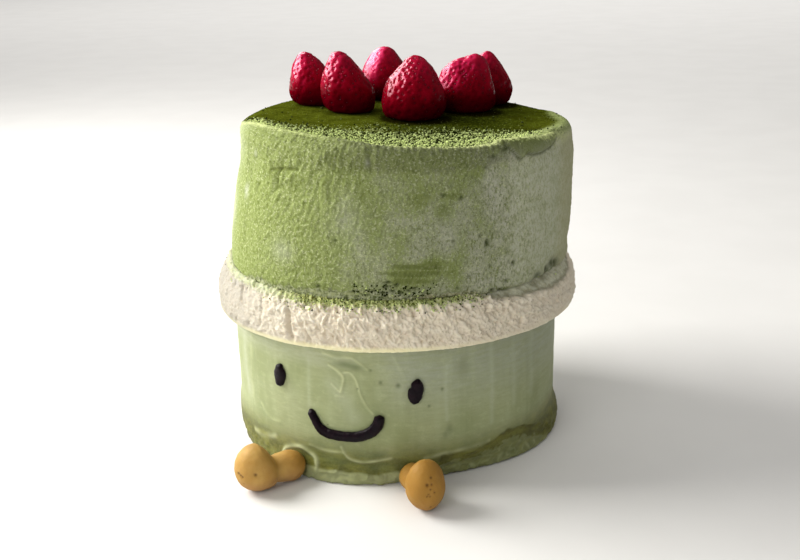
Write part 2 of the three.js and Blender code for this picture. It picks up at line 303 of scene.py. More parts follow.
def skin_over(name, node, corners, columns, even, crowded=0.45):
    """A skin found by rays from the node's middle towards each point of an outline.

    corners are (radius, height over the middle, spacing), from the lowest point of the axis to
    its highest. even is how many columns and rows the faceted CAD surface is evened out over.
    The columns crowd together on the side that the camera sees.
    """
    centre = middle(node)
    tree = tree_of(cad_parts[node].data)
    outline = walk(corners)
    widest = max(radius for radius, _ in outline)
    turns = np.arange(columns) * 2 * np.pi / columns - np.pi
    angles = math.radians(VIEW_ANGLE) + turns - crowded * np.sin(turns)
    ways = np.empty((len(outline), columns, 3))
    for row, (radius, height) in zip(ways, outline):
        row[:, 0] = radius * np.sin(angles)
        row[:, 1] = -radius * np.cos(angles)
        row[:, 2] = height
    ways /= np.linalg.norm(ways, axis=2)[:, :, None]
    reach = np.array([[tree.ray_cast(centre, Vector(w))[3] for w in row] for row in ways])
    for _ in range(2):
        reach = running_mean(reach, *even)
    grid = np.array(centre) + ways * reach[:, :, None]
    low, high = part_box(node)
    grid[:, :, 2] = np.clip(grid[:, :, 2], low[2] / MM, high[2] / MM)
    points, rings = [], []
    for row, (radius, _) in zip(grid, outline):
        step = columns
        if radius > 0:
            step = 2 ** int(math.log2(min(columns / 8, widest / radius)))
        rings.append((len(points), columns // step))
        points.extend(row[::step])
    faces = []
    for here, above in itertools.pairwise(rings):
        faces += ring_faces(*here, *above)
    return Skin(name, points, faces, centre)


# ---- Material nodes -----------------------------------------------------------------------


class Material:
    """A node material round one Principled shader."""

    def __init__(self, name, rough=0.5, specular=0.5, ior=1.5):
        self.made = bpy.data.materials.new(name)
        self.made.use_nodes = True
        self.tree = self.made.node_tree
        self.shader = self.tree.nodes["Principled BSDF"]
        sockets = {"Roughness": rough, "Specular IOR Level": specular, "IOR": ior}
        for socket, value in sockets.items():
            self.shader.inputs[socket].default_value = value
        self.place = self.node("TexCoord").outputs["Object"]
        self.colour = None
        self.bump_normal = None

    def node(self, kind, inputs=None, **settings):
        made = self.tree.nodes.new("ShaderNode" + kind)
        for key, value in settings.items():
            setattr(made, key, value)
        for key, value in (inputs or {}).items():
            self.give(made.inputs[key], value)
        return made

    def give(self, socket, value):
        if isinstance(value, bpy.types.NodeSocket):
            self.tree.links.new(value, socket)
        elif socket.type == "RGBA" and len(value) == 3:
            socket.default_value = (*value, 1)
        else:
            socket.default_value = value

    def noise(self, size, detail=2, rough=0.5, stretch=(1, 1, 1)):
        """Noise from 0 to 1 with grains about `size` mm across, longer along stretch."""
        scale = tuple(1 / (size * MM * s) for s in stretch)
        spots = self.node("Mapping", {"Vector": self.place, "Scale": scale})
        inputs = {"Vector": spots.outputs[0], "Scale": 1, "Detail": detail, "Roughness": rough}
        return self.node("TexNoise", inputs).outputs["Fac"]

    def cells(self, size):
        """Distance to the middle of the nearest of many cells, `size` mm across."""
        inputs = {"Vector": self.place, "Scale": 1 / (size * MM)}
        return self.node("TexVoronoi", inputs).outputs["Distance"]

    def kept(self, name):
        """A number that the mesh keeps at each point."""
        return self.node("Attribute", attribute_name=name).outputs["Fac"]

    def ramp(self, value, low, high):
        """value from low to high becomes 0 to 1."""
        inputs = {"Value": value, "From Min": low, "From Max": high}
        return self.node("MapRange", inputs, interpolation_type="SMOOTHSTEP").outputs[0]

    def maths(self, operation, first, second):
        return self.node("Math", {0: first, 1: second}, operation=operation).outputs[0]

    def times(self, first, second):
        return self.maths("MULTIPLY", first, second)

    def plus(self, first, second):
        return self.maths("ADD", first, second)

    def blend(self, share, first, second, mode="MIX"):
        inputs = {0: share, 6: first, 7: second}
        node = self.node("Mix", inputs, data_type="RGBA", blend_type=mode)
        return node.outputs[2]

    def lay(self, colour, share, strength=1, mode="MIX"):
        """Lays a colour over the one so far, by a socket or a mark's name, up to strength."""
        if isinstance(share, str):
            share = self.kept(share)
        if strength != 1:
            share = self.times(share, strength)
        self.colour = self.blend(share, self.colour, colour, mode)

    def soften(self, weight, depth, radius):
        """Lets light into the surface, about depth mm deep."""
        for name, value in (("Weight", weight), ("Scale", depth * MM), ("Radius", radius)):
            self.shader.inputs["Subsurface " + name].default_value = value

    def bump(self, height, deep):
        """Adds relief `deep` mm between the lowest and highest values of height."""
        inputs = {"Height": height, "Distance": deep * MM, "Strength": 1}
        if self.bump_normal is not None:
            inputs["Normal"] = self.bump_normal
        self.bump_normal = self.node("Bump", inputs).outputs[0]

    def finish(self, roughness=None):
        self.give(self.shader.inputs["Base Color"], self.colour)
        if roughness is not None:
            self.give(self.shader.inputs["Roughness"], roughness)
        if self.bump_normal is not None:
            self.give(self.shader.inputs["Normal"], self.bump_normal)
        return self.made


# ---- Lower tier ---------------------------------------------------------------------------

WALL_R = 78.5

# Ridges that the palette knife left: (height, width, points as angle and height).
LOWER_RIDGES = [
    (0.55, 0.5, [(-4.6, 56.7), (-1.7, 54.6), (0.2, 51.7), (0, 48.4), (-0.7, 45)]),
    (0.5, 0.5, [(-6.5, 62), (-1.8, 60.6), (2.7, 61), (5, 59.4), (8.1, 56.1)]),
    (0.5, 0.45, [(0.7, 53.9), (2.7, 53.9), (4.6, 50.5), (5.6, 45), (7.4, 39.5), (9.6, 35.2)]),
    (0.4, 0.45, [(-3.8, 48), (-1.9, 45.6), (-0.9, 44.4)]), (0.4, 0.45, [(-2.6, 42.6), (0.2, 42.4)]),
    (0.15, 0.7, [(16.8, 62), (18.3, 57.3), (20, 51), (18.9, 44.3)]),
    (0.5, 0.6, [(-1.4, 18), (0.7, 13.3), (4, 11.7), (8.5, 12.1), (15, 14)]),
    (0.35, 0.6, [(-13.1, 16.2), (-7, 15), (-0.8, 15.4)]),
    (0.4, 1.2, [(-42.5, 11), (-36, 11.4), (-29.1, 14.5)]),
    (0.25, 0.8, [(-36.5, 27.5), (-32, 22.5), (-26.5, 22.6)]),
    (0.2, 1.5, [(-40, 60), (-42, 44), (-43.1, 28)]),
    (0.3, 0.8, [(26, 12.6), (33, 14.2), (41.6, 14.6), (49, 15.6)]),
    (0.35, 0.8, [(118, 60), (122, 50), (131, 46), (138, 49)]),
    (0.4, 0.8, [(150, 22), (163, 18), (176, 20), (188, 26)]),
    (0.35, 0.8, [(228, 52), (236, 47), (240, 38)]), (0.35, 0.8, [(285, 30), (293, 24), (300, 25)]),
]

# Faint upright bands, paler or bluer than the wall: (strength, half width, points).
LOWER_BANDS = [
    (0.75, 3.4, [(-46, 60), (-48, 44), (-47, 30)]),
    (0.45, 1.1, [(-12, 58), (-12.4, 47), (-12.8, 34)]), (0.55, 4.2, [(-3.5, 48), (0, 41), (3, 33)]),
    (0.5, 1, [(33.8, 56), (33.3, 44), (33.6, 30)]),
    (0.5, 1.3, [(50.2, 62), (50.7, 44), (50.4, 24)]),
    (0.4, 1.6, [(60, 62), (60.5, 44), (60.3, 30)]), (0.35, 2, [(70.5, 60), (70.3, 46), (70.1, 30)]),
    (0.5, 2.2, [(96, 58), (98, 42), (97, 25)]), (0.5, 2.4, [(150, 58), (151, 42), (150, 20)]),
    (0.5, 1.6, [(205, 58), (204, 40), (206, 24)]), (0.5, 2.2, [(262, 60), (264, 42), (263, 26)]),
]

# Dark patches where the frosting is thin: angle, height, half width, half height, strength.
SMUDGES = [
    (0.5, 57.8, 4.5, 1.6, 0.75), (4.5, 56.5, 3.5, 1.4, 0.75), (39.4, 54.5, 3.2, 5.5, 0.45),
    (34.5, 25.5, 1.6, 2.6, 0.6), (33, 23.2, 1.2, 1.8, 0.5), (11.5, 15.4, 5, 1.3, 0.5),
    (6.5, 14.4, 4, 1, 0.5), (-5, 10.6, 9, 2.6, 0.6), (12, 9, 9, 2.8, 0.6), (170, 40, 6, 3, 0.5),
    (250, 30, 5, 4, 0.5),
]

# Dark specks in the frosting: angle, height, radius.
LOWER_SPECKS = [
    (12.4, 49.9, 0.75), (18, 48.5, 0.95), (27.7, 37.8, 0.6), (32.3, 45.1, 0.7), (4.9, 46.8, 0.5),
    (9.3, 55.6, 0.5), (112, 44, 0.7), (163, 52, 0.8), (214, 33, 0.7), (286, 47, 0.8),
]

# The frosting pushed up round the left leg's stub.
STUB_COLLAR = [(-25, 8), (-23, 11.5), (-17, 13.8), (-11.5, 11), (-10.5, 6)]

# At the right the wall is tucked in below this height, by angle.
TUCK = {
    -180: -9, 25: -9, 31.5: 14.1, 41.6: 13.5, 49: 14.7, 57.3: 18, 67.1: 15.7, 82.1: 8.3, 92: -9,
    140: -9, 150: 9, 164: 11, 175: 8, 179: -9,
}


def lower_frosting():
    corners = [
        (0, -33, 12), (70, -33, 2), (WALL_R, -33, 0.56), (WALL_R, 33, 2), (70, 33, 12), (0, 33, 12),
    ]
    skin = skin_over("lower_tier_frosting", "lower_tier", corners, 640, (8, 1))
    angle, height, points = skin.angle, skin.height, skin.points
    wall = between(height, 1, 65, 1)
    ridged = skin.strokes(LOWER_RIDGES, WALL_R, 1.1)
    bands = skin.strokes(LOWER_BANDS, WALL_R)
    dark = skin.spots(SMUDGES, WALL_R)
    specks = sum(skin.spot(at, level, WALL_R, size, size) for at, level, size in LOWER_SPECKS)
    collar = bell(skin.line(STUB_COLLAR, WALL_R), 0, 1)
    combed = noise(points, (14, 14, 1.1), 3)
    upright = noise(points, (2.6, 2.6, 30), 4)
    broad = noise(points, (16, 16, 10), 5)
    torn = stirred(points, 5, 1.2, 6)
    lumpy = crests(torn, (7, 7, 3.6), 6) + 0.5 * crests(torn, 2.6, 7) - 0.5
    base = between(angle, -15, 20, 3) * smooth((6.5 + 1.4 * noise(points, 7, 8) - height) / 1.2)
    low = fall(height, 13, 9)
    edge_soft = by_angle(angle, {25: 4.5, 45: 3.4, 56: 2, 70: 1.4, 100: 1.4, 360: 2})
    tuck = smooth((by_angle(angle, TUCK) + 0.9 * noise(points, 4, 9) - height) / edge_soft)

    relief = 0.06 * combed + 0.03 * upright + 0.2 * broad + 0.8 * ridged + 0.8 * collar
    relief += 0.45 * low * lumpy + 0.8 * base * (0.6 + 0.5 * lumpy)
    relief -= 1.2 * tuck * rise(height, 1, 5) + 0.25 * dark + 0.45 * specks
    skin.swell(wall * relief)

    # Painted highlight: the ridges' crests, the collar round the stub and the lumps at the foot are
    # painted paler where light catches them, unevenly along them.
    highlight_strength = np.clip(0.75 + 0.9 * noise(points, 6, 31), 0.25, 1)
    skin.mark("ridge_highlight", highlight_strength * (1.3 * ridged + 0.9 * collar) + 0.22 * base)
    skin.mark("band", bands)
    skin.mark("dark", dark + specks)
    # Painted shade: the wall darkens to olive towards the floor and just under the tuck at the
    # right, less on the lumps that face the light.
    below = by_angle(angle, TUCK) - height
    foot = fall(height, 25, 16) * (1 - 0.4 * base)
    foot += tuck * mixed(0.8, -0.35, smooth((below - 3 - 2.5 * lumpy) / 3.5))
    foot -= 0.5 * low * smooth(lumpy - 0.15) * between(angle, 28, 80, 8)
    skin.mark("foot", foot)
    skin.mark("upright", 0.5 + 0.5 * np.clip(upright + 0.4 * broad, -1, 1))
    near_cream = between(angle, 22, 90, 14) * rise(height, 26, 30)
    skin.mark("blue", near_cream + 0.35 * rise(height, 52, 10))
    # Painted light: the top of the wall at the left, under the cream, is made paler to lift the
    # cream's shade there.
    skin.mark("light_under_cream", rise(height, 52, 8) * between(angle, -80, -6, 16))
    skin.piece(frosting_material(), "pale_frosting", "lower_tier")


def frosting_material():
    m = Material("pale_frosting", 0.62, 0.3)
    m.soften(0.12, 4, (0.9, 1, 0.5))
    pale, deep, light = (0.33, 0.36, 0.19), (0.25, 0.285, 0.13), (0.56, 0.58, 0.36)
    m.colour = m.blend(m.ramp(m.noise(20, 3, 0.55, (1, 1, 1.6)), 0.35, 0.7), pale, deep)
    m.lay((0.335, 0.36, 0.29), "blue", 0.7)
    # Painted light under the cream at the left.
    m.lay((0.5, 0.52, 0.37), "light_under_cream", 0.35)
    m.lay(deep, m.ramp(m.noise(1.3, 3, 0.6, (7, 7, 1)), 0.34, 0.68), 0.38)
    m.lay((0.47, 0.5, 0.36), "band", 0.55)
    m.lay(light, m.ramp(m.noise(2.6, 4, 0.65, (1.5, 1.5, 1)), 0.48, 0.78), 0.2)
    m.lay((0.43, 0.46, 0.28), m.ramp(m.kept("upright"), 0.45, 0.95), 0.16)
    # The painted shade at the foot, in mottled olive.
    mottled = m.ramp(m.noise(4, 4, 0.6, (2.2, 2.2, 1)), 0.36, 0.66)
    olive = m.blend(mottled, (0.07, 0.069, 0.004), (0.15, 0.147, 0.018))
    m.lay(olive, "foot", 0.96)
    # Painted highlight on the ridges, the collar and the foot lumps.
    m.lay((0.6, 0.63, 0.37), "ridge_highlight", 0.85)
    m.lay((0.09, 0.12, 0.045), "dark", 0.75)
    fine = m.noise(0.9, 3, 0.6)
    m.lay(deep, m.ramp(fine, 0.35, 0.75), 0.14)
    m.lay((0.06, 0.08, 0.02), m.ramp(m.cells(10), 0.045, 0.028), 0.6)
    m.bump(m.noise(2.6, 3, 0.55, (2.5, 2.5, 1)), 0.2)
    m.bump(fine, 0.08)
    return m.finish()


# ---- Cream layer --------------------------------------------------------------------------

CREAM_R = 83
CREAM_EDGE_R = 86
CREAM_LOW_Z, CREAM_HIGH_Z = 66.3, 86.8

# Grooves down the cream's side: depth, width, points as angle and height.
GROOVES = [
    (1.3, 0.9, [(-40.3, 84.2), (-38.5, 82), (-37.4, 80)]),
    (1.7, 1, [(-15.6, 82), (-15, 76), (-13.5, 68.8)]),
    (1.1, 0.9, [(-10.3, 77.1), (-9, 74), (-7.9, 71.3)]),
    (0.8, 0.9, [(-27, 82), (-26, 77), (-26.5, 72)]), (0.8, 0.8, [(2, 79), (3.2, 76), (2.6, 72)]),
    (0.9, 1.2, [(44.5, 80.6), (46.4, 79.4), (48.5, 79.8)]),
    (1, 1.4, [(52, 72.4), (54.7, 71.6), (57, 72.2)]), (1.2, 1, [(128, 84), (129, 77), (127, 70)]),
    (1.2, 1, [(196, 84), (198, 77), (197, 70)]), (1.2, 1, [(254, 84), (256, 76), (254, 70)]),
]

# Peaks and notches of the cream's upper edge: angle, height, radius, and how far it stands out.
EDGE_PEAKS = [
    (7.9, 85.4, 1.5, 1.7), (5.2, 84.2, 1, 0.9), (24.9, 84.4, 1.4, 1.6), (23, 83, 0.9, -1.5),
    (31, 83.6, 1.5, 1.3), (38, 83, 1.3, 1.1), (52.5, 83, 1.7, 1.5), (48, 82.4, 1.2, -1),
    (-21, 84.4, 1.4, 1),
]

# Over this share of the cream's height the upper tier's frosting is smeared down on it.
SMEARED_DOWN = {
    -180: 1.3, 32: 1.2, 44: 0.96, 57: 0.8, 70: 0.72, 84: 0.68, 98: 0.8, 114: 1.2, 179: 1.3,
}
# Dark hollows in that smear: angle, height, half width, half height.
SMEAR_HOLLOWS = [(66, 85, 3, 1.3), (72, 86, 3.4, 1.8)]

# How calm the torn side is, and how thickly powder lies on the ledge, round the cake.
CALM = {-64: 1, -34: 0.8, -18: 0.3, -6: 0, 50: 0.1, 80: 0.35, 110: 0.4, 180: 0.1, 260: 0.2}
LEDGE_POWDER = {-70: 0.7, -20: 0.85, 0: 0.95, 30: 0.9, 44: 0.6, 60: 0.35, 100: 0.2, 180: 0.8}


def cream():
    corners = [
        (0, -8, 12), (70, -8, 2.4), (77, -8, 0.7), (CREAM_EDGE_R, -11, 0.42),
        (CREAM_EDGE_R, 7, 0.5), (77.5, 11.7, 0.8), (70, 11.7, 12), (0, 11.7, 12),
    ]
    skin = skin_over("cream_crags", "cream_layer", corners, 960, (11, 1))
    angle = skin.angle
    outer = rise(skin.radius, 76, 3)
    share = (skin.height - CREAM_LOW_Z) / (CREAM_HIGH_Z - CREAM_LOW_Z)
    lip = outer * fall(share, 0.17, 0.1)
    points = twisted(skin.points, 0.3)
    torn = stirred(points, (5, 5, 6), 2.4, 10)
    finer = stirred(points, 2.6, 1, 11)
    slabs = crests(torn, (6, 6, 6.5), 12)
    crags = crests(torn, (3, 3, 3), 13)
    flakes = crests(finer, (1.5, 1.5, 1.5), 14)
    grain = noise(points, 0.8, 15)
    folds = noise(skin.points, (3.4, 3.4, 15), 16)
    terraces = rise(noise(torn, (8, 8, 4), 17), 0.05, 0.12)
    calm = by_angle(angle, CALM)
    clods = noise(torn, (4.2, 4.2, 3.6), 19)
    crumbs = noise(finer, 1.5, 20)
    knobs = lumps(finer, (2.3, 2.3, 2), 21)
    rough = 0.4 * (slabs - 0.35) + 0.8 * clods + 0.3 * (crags - 0.35) + 0.45 * crumbs
    rough += 0.6 * (knobs - 0.5) + 0.3 * (flakes - 0.35) + 0.28 * grain + 0.5 * (terraces - 0.5)
    soft = 0.5 * folds + 0.25 * crumbs + 0.3 * (flakes - 0.35) + 0.15 * grain
    relief = mixed(rough, soft, calm)
    upper = rise(share, 0.74, 0.2)
    peaks = crests(stirred(points, 3, 1.2, 18), (3, 3, 7), 18)
    relief += upper * (1 - 0.5 * calm) * 1.6 * (peaks - 0.3)
    grooves = np.zeros(len(points))
    for deep, wide, path in GROOVES:
        groove = bell(skin.line(path, CREAM_R), 0, wide)
        relief -= deep * groove
        grooves = np.maximum(grooves, groove)
    for at, level, wide, far in EDGE_PEAKS:
        relief += far * skin.spot(at, level, CREAM_R, wide, 1.6 * wide)
    ledge = rise(share, 0.9, 0.08) * fall(skin.radius, 82, 3)
    relief = mixed(relief, 0.2 + 1.1 * flakes + 0.5 * grain + 0.8 * peaks, ledge)
    smeared_edge = by_angle(angle, SMEARED_DOWN) + 0.04 * clods
    smeared = outer * smooth((share - smeared_edge) / 0.07)
    relief = mixed(relief, 0.1 + 0.25 * grain + 0.3 * crumbs, smeared)
    skin.swell(outer * relief * (1 - 0.85 * lip))

    # Painted shade in the hollows between the crags and in the grooves, weaker on the calm side.
    hollow_shade = 0.75 - 0.3 * slabs - 0.6 * clods - 0.25 * crags - 0.5 * crumbs - 0.5 * knobs
    hollow_shade += 0.5 * grooves
    skin.mark("hollow_shade", smooth(0.55 + 0.5 * hollow_shade) * (1 - 0.45 * calm))
    lip *= by_angle(angle, {-50: 0.3, -30: 0.9, 20: 0.9, 34: 0.3, 60: 0.1, 220: 0.6})
    skin.mark("lip", lip)
    skin.mark("dust", rise(share, 0.8, 0.2) * by_angle(angle, LEDGE_POWDER))
    skin.mark("smeared", smeared)
    shaded = bell(share - smeared_edge, 0.04, 0.05) * rise(angle, 38, 12)
    for at, level, wide, tall in SMEAR_HOLLOWS:
        shaded = np.maximum(shaded, skin.spot(at, level, CREAM_R, wide, tall))
    skin.mark("shaded", outer * shaded * fall(angle, 110, 10))
    skin.mark("calm", calm)
    # Painted shade: the cream is darkened on its left side, where the key light falls on it most.
    skin.mark("lit", by_angle(angle, {-100: 1, -58: 1, -40: 0.75, -22: 0.4, -6: 0.1, 4: 0, 250: 0}))
    middle_part = between(angle, -12, 44, 10)
    skin.mark("dotted", middle_part * rise(share, 0.84, 0.12))
    skin.piece(cream_material(), "cream", "cream_layer")
    return skin


def cream_material():
    m = Material("cream", 0.72, 0.25)
    m.soften(0.2, 3, (1, 0.8, 0.5))
    white, shade, buttery = (0.8, 0.74, 0.6), (0.52, 0.42, 0.3), (0.84, 0.79, 0.46)
    green = m.blend(m.ramp(m.kept("calm"), 0.1, 0.6), (0.4, 0.44, 0.16), (0.45, 0.49, 0.29))
    uneven = m.ramp(m.noise(6, 3, 0.6), 0.3, 0.75)
    m.colour = m.blend(m.times(uneven, 0.3), white, (0.66, 0.57, 0.43))
    m.lay((0.56, 0.51, 0.42), m.ramp(m.kept("calm"), 0.3, 1))
    # Painted shade in the hollows, brown in patches.
    m.lay(shade, "hollow_shade", 0.42)
    brown = m.times(m.ramp(m.noise(2.6, 3, 0.6), 0.58, 0.75), m.kept("hollow_shade"))
    m.lay((0.3, 0.21, 0.1), brown, 0.6)
    m.lay(buttery, "lip", 0.8)
    # The painted shade on the cream's lit left side.
    m.lay((0.6, 0.62, 0.635), "lit", mode="MULTIPLY")
    dusted = m.plus(m.kept("dust"), m.times(m.noise(1.3, 2), 0.9))
    m.lay(green, m.ramp(dusted, 0.75, 1.4))
    dots = m.plus(m.kept("dotted"), m.times(m.noise(0.8, 2, 0.6), 1.2))
    m.lay((0.11, 0.13, 0.02), m.ramp(dots, 1.56, 1.72))
    smear = m.blend(m.ramp(m.noise(2.5, 3, 0.6), 0.4, 0.65), (0.57, 0.57, 0.43), (0.42, 0.41, 0.28))
    m.lay(smear, "smeared")
    m.lay((0.11, 0.105, 0.05), "shaded", 0.55)
    m.bump(m.noise(1.1, 3, 0.65), 0.32)
    m.bump(m.noise(0.5, 2, 0.6), 0.1)
    return m.finish()


# ---- Upper tier ---------------------------------------------------------------------------

UPPER_R = 80.5
UPPER_FOOT_Z = 87.4
TOP_Z = 138  # the top's powder lies above this height

# How thickly the powder lies on the side, round the cake.
SIDE_POWDER = {
    -170: 0.6, -110: 0.8, -60: 0.95, -35: 0.9, -12: 0.78, 2: 0.62, 16: 0.42, 35: 0.4, 48: 0.22,
    62: 0.08, 85: 0.1, 130: 0.4,
}

# The crest of the rim round the top: its distance from the axis by angle.
CREST_R = {
    -124: 75, -90: 76, -78: 74.4, -64: 70.6, -55: 67.6, -42: 66, -24: 65.4, -11: 66.6, -4: 67.4,
    3: 70.8, 9: 73, 21: 74.6, 50: 76.4, 73: 78.4, 84: 79.9, 97: 81.4, 140: 77.5, 179: 75,
}

# How far in from the crest the top is speckled with pale powder, by angle.
SPECKLE_REACH = {
    -180: 8, -70: 8, -56: 16, -42: 28, -24: 46, -8: 57, 10: 61, 58: 58, 74: 34, 100: 8,
}

# Small holes in the side: angle, height, half width, half height, depth.
PITS = [
    (54.7, 98.5, 1.1, 1.1, 0.9), (52.6, 99.9, 0.6, 0.7, 0.5), (45.9, 99.3, 0.6, 0.6, 0.6),
    (52, 91.2, 0.9, 0.7, 0.7), (38.7, 96.4, 0.7, 0.6, 0.6), (35, 91.5, 0.8, 0.6, 0.7),
    (40.1, 88.6, 0.7, 0.6, 0.6), (36.8, 130.6, 0.9, 0.8, 0.8), (31.1, 132.1, 1.6, 0.9, 0.6),
    (33.8, 112.5, 0.8, 0.7, 0.7), (-2.3, 113.5, 0.9, 0.6, 0.8), (47.2, 146.1, 1, 0.8, 0.7),
    (45, 142, 0.9, 0.7, 0.6), (44.7, 109.8, 1.2, 1.7, 0.9), (42.6, 113.6, 1, 0.6, 0.5),
    (13.7, 96.2, 1.9, 0.5, 1), (16.2, 95, 1.3, 0.7, 1.1), (13.2, 94.2, 1.8, 0.5, 1),
    (9.8, 92.2, 1.5, 0.6, 0.9), (12, 91.4, 1.2, 0.7, 0.9), (15, 92.3, 1.3, 0.8, 1),
    (17.4, 91.5, 1.2, 0.8, 1), (19.9, 92.3, 1.1, 0.6, 0.9), (21.8, 93.2, 1.3, 0.5, 0.9),
    (46.5, 88.6, 1.3, 0.8, 0.9), (49.3, 88, 1.2, 0.8, 0.9), (73, 89, 2.4, 2, 1.5),
    (80, 89.5, 2.6, 2.2, 1.6), (67, 88.6, 3.6, 1.4, 0.7), (76.5, 90.6, 3.4, 2.4, 0.9),
    (-8.5, 92.8, 1.6, 0.9, 0.8), (118, 104, 1, 0.9, 0.8), (126, 97, 1.3, 0.7, 0.8),
    (152, 90.5, 2, 1.3, 1.1), (171, 118, 0.9, 0.9, 0.7), (203, 94, 1.5, 0.7, 0.9),
    (226, 126, 0.8, 0.8, 0.7), (251, 91, 1.9, 1, 1),
]

# Grooves and ridges in the side: height (a groove is negative), width, (angle, height) points.
UPPER_MARKS = [
    (-0.9, 0.9, [(-28, 139.5), (-21.8, 140.8), (-16.4, 141.4)]),
    (-0.9, 1, [(-24.6, 140.2), (-25.4, 137), (-25.9, 132)]),
    (0.7, 1.3, [(-23, 135.5), (-20, 137), (-17, 139.3)]),
    (-0.6, 1.1, [(9.2, 152), (9, 148), (9.4, 143)]),
    (0.45, 0.7, [(11.6, 151), (11, 146.5), (11.8, 141), (11.2, 133)]),
    (0.5, 0.8, [(-5.6, 146), (-5.4, 149.6), (-3, 151.6), (2, 152)]),
    (0.45, 0.7, [(-4.8, 145.5), (-1.2, 140.6)]),
    (-0.5, 1.1, [(16, 103.2), (22.2, 102.8), (29, 102.2)]),
    (-0.5, 1.1, [(10.8, 100.4), (20, 99.9), (29, 99.3)]),
    (-0.5, 1, [(16, 96.8), (22.1, 96.4), (28.6, 95.8)]),
    (0.3, 1, [(13, 101.8), (20, 101.4), (28, 100.8)]), (0.3, 1, [(13, 98.4), (20, 98), (28, 97.4)]),
    (-0.5, 0.9, [(-43, 122), (-43.6, 112), (-42.8, 103)]),
    (-0.5, 1, [(140, 132), (148, 134), (156, 133)]),
    (-0.5, 1, [(190, 108), (200, 107), (212, 108)]),
    (-0.5, 1, [(188, 103.5), (200, 102.5), (209, 103)]),
    (0.5, 0.8, [(236, 148), (237, 140), (235, 131)]),
    (-0.6, 1.1, [(272, 141), (278, 142.5), (286, 142)]),
]

# Lower edge of the thick flap of frosting that hangs from the rim at the right.
NO_FLAP = 170
FLAP_EDGE = {
    -180: NO_FLAP, 47: NO_FLAP, 48: 151, 50: 148.6, 52.3: 149.1, 54.8: 145.9, 57: 143.4,
    58.9: 145.6, 62: 144.5, 66.6: 144.2, 72: 145.2, 76: 147.6, 80: 151, 81: NO_FLAP, 179: NO_FLAP,
}

# Lower edge of the powdered frosting, over the bare strip at the foot of the side.
POWDER_EDGE = {
    -60: 87, -44: 87, -38: 90.6, -21: 91.4, -4: 92.4, 8: 92.6, 16: 91.2, 22: 90.2, 30: 90.8,
    45: 89.4, 70: 88.4, 100: 88.6, 150: 90.6, 200: 89.6, 250: 90.8,
}

# Where the side's frosting is paler: angle, height, half width, half height, strength.
PALE_SPOTS = [
    (-64, 146, 20, 9, 0.6), (-68, 112, 16, 30, 0.6), (-39.7, 144.1, 1.3, 1.5, 0.7),
    (-46, 126, 2.6, 3.2, 0.9), (-22, 106, 6, 5, 0.45), (8.5, 146.5, 1.2, 2, 0.5),
    (1.5, 121, 8, 9, 0.25), (33, 118, 5, 9, 0.3), (120, 128, 5, 7, 0.5), (196, 120, 7, 6, 0.5),
    (300, 112, 5, 9, 0.5),
]

# Where powder lies thicker on the side, in olive patches.
OLIVE_PATCHES = [
    (-30, 136.5, 1.4, 4, 0.75), (-5.5, 137, 3, 7, 0.5), (7, 133, 2.5, 6, 0.5), (24, 131, 7, 6, 0.5),
    (31, 125.5, 3.5, 3, 0.6), (34, 131.5, 3, 1.6, 0.8), (27, 103, 4, 2.6, 0.75),
    (20, 99, 9, 4.5, 0.75), (33, 100, 4, 5, 0.4), (41.5, 139, 5, 5, 0.35), (144, 133, 6, 2.5, 0.6),
    (222, 106, 8, 4, 0.6),
]

# How dark a painted shadow each strawberry casts on the powder round its foot, how strongly the
# side of it that faces up and left is painted with a pink sheen in place of a highlight, and how
# deep its seeds' pits are in mm.
BERRIES = {
    "front": (1, 0.06, 0.5),
    "front_left": (0.4, 0.3, 0.44),
    "left": (0.25, 0.5, 0.34),
    "back": (0.5, 1, 0.16),
    "front_right": (1, 0.8, 0.34),
    "right": (0.9, 0.6, 0.3),
}


def shadow_of_fruit(points):
    """1 where a strawberry's painted shadow darkens the powder round its foot, fading out over a
    few mm, set a little to the right and front.
    """
    wet = np.zeros(len(points))
    for which, (strength, _, _) in BERRIES.items():
        low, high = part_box("strawberry_" + which)
        wide, deep = (high[0] - low[0]) / 2 / MM, (high[1] - low[1]) / 2 / MM
        x = points[:, 0] - (low[0] + high[0]) / 2 / MM - 1.5
        y = points[:, 1] - (low[1] + high[1]) / 2 / MM + 1.5
        beyond = (np.hypot(x / wide, y / deep) - 0.8) * (wide + deep) / 2
        wet = np.maximum(wet, strength * bell(np.maximum(0, beyond), 0, 5.5))
    return wet


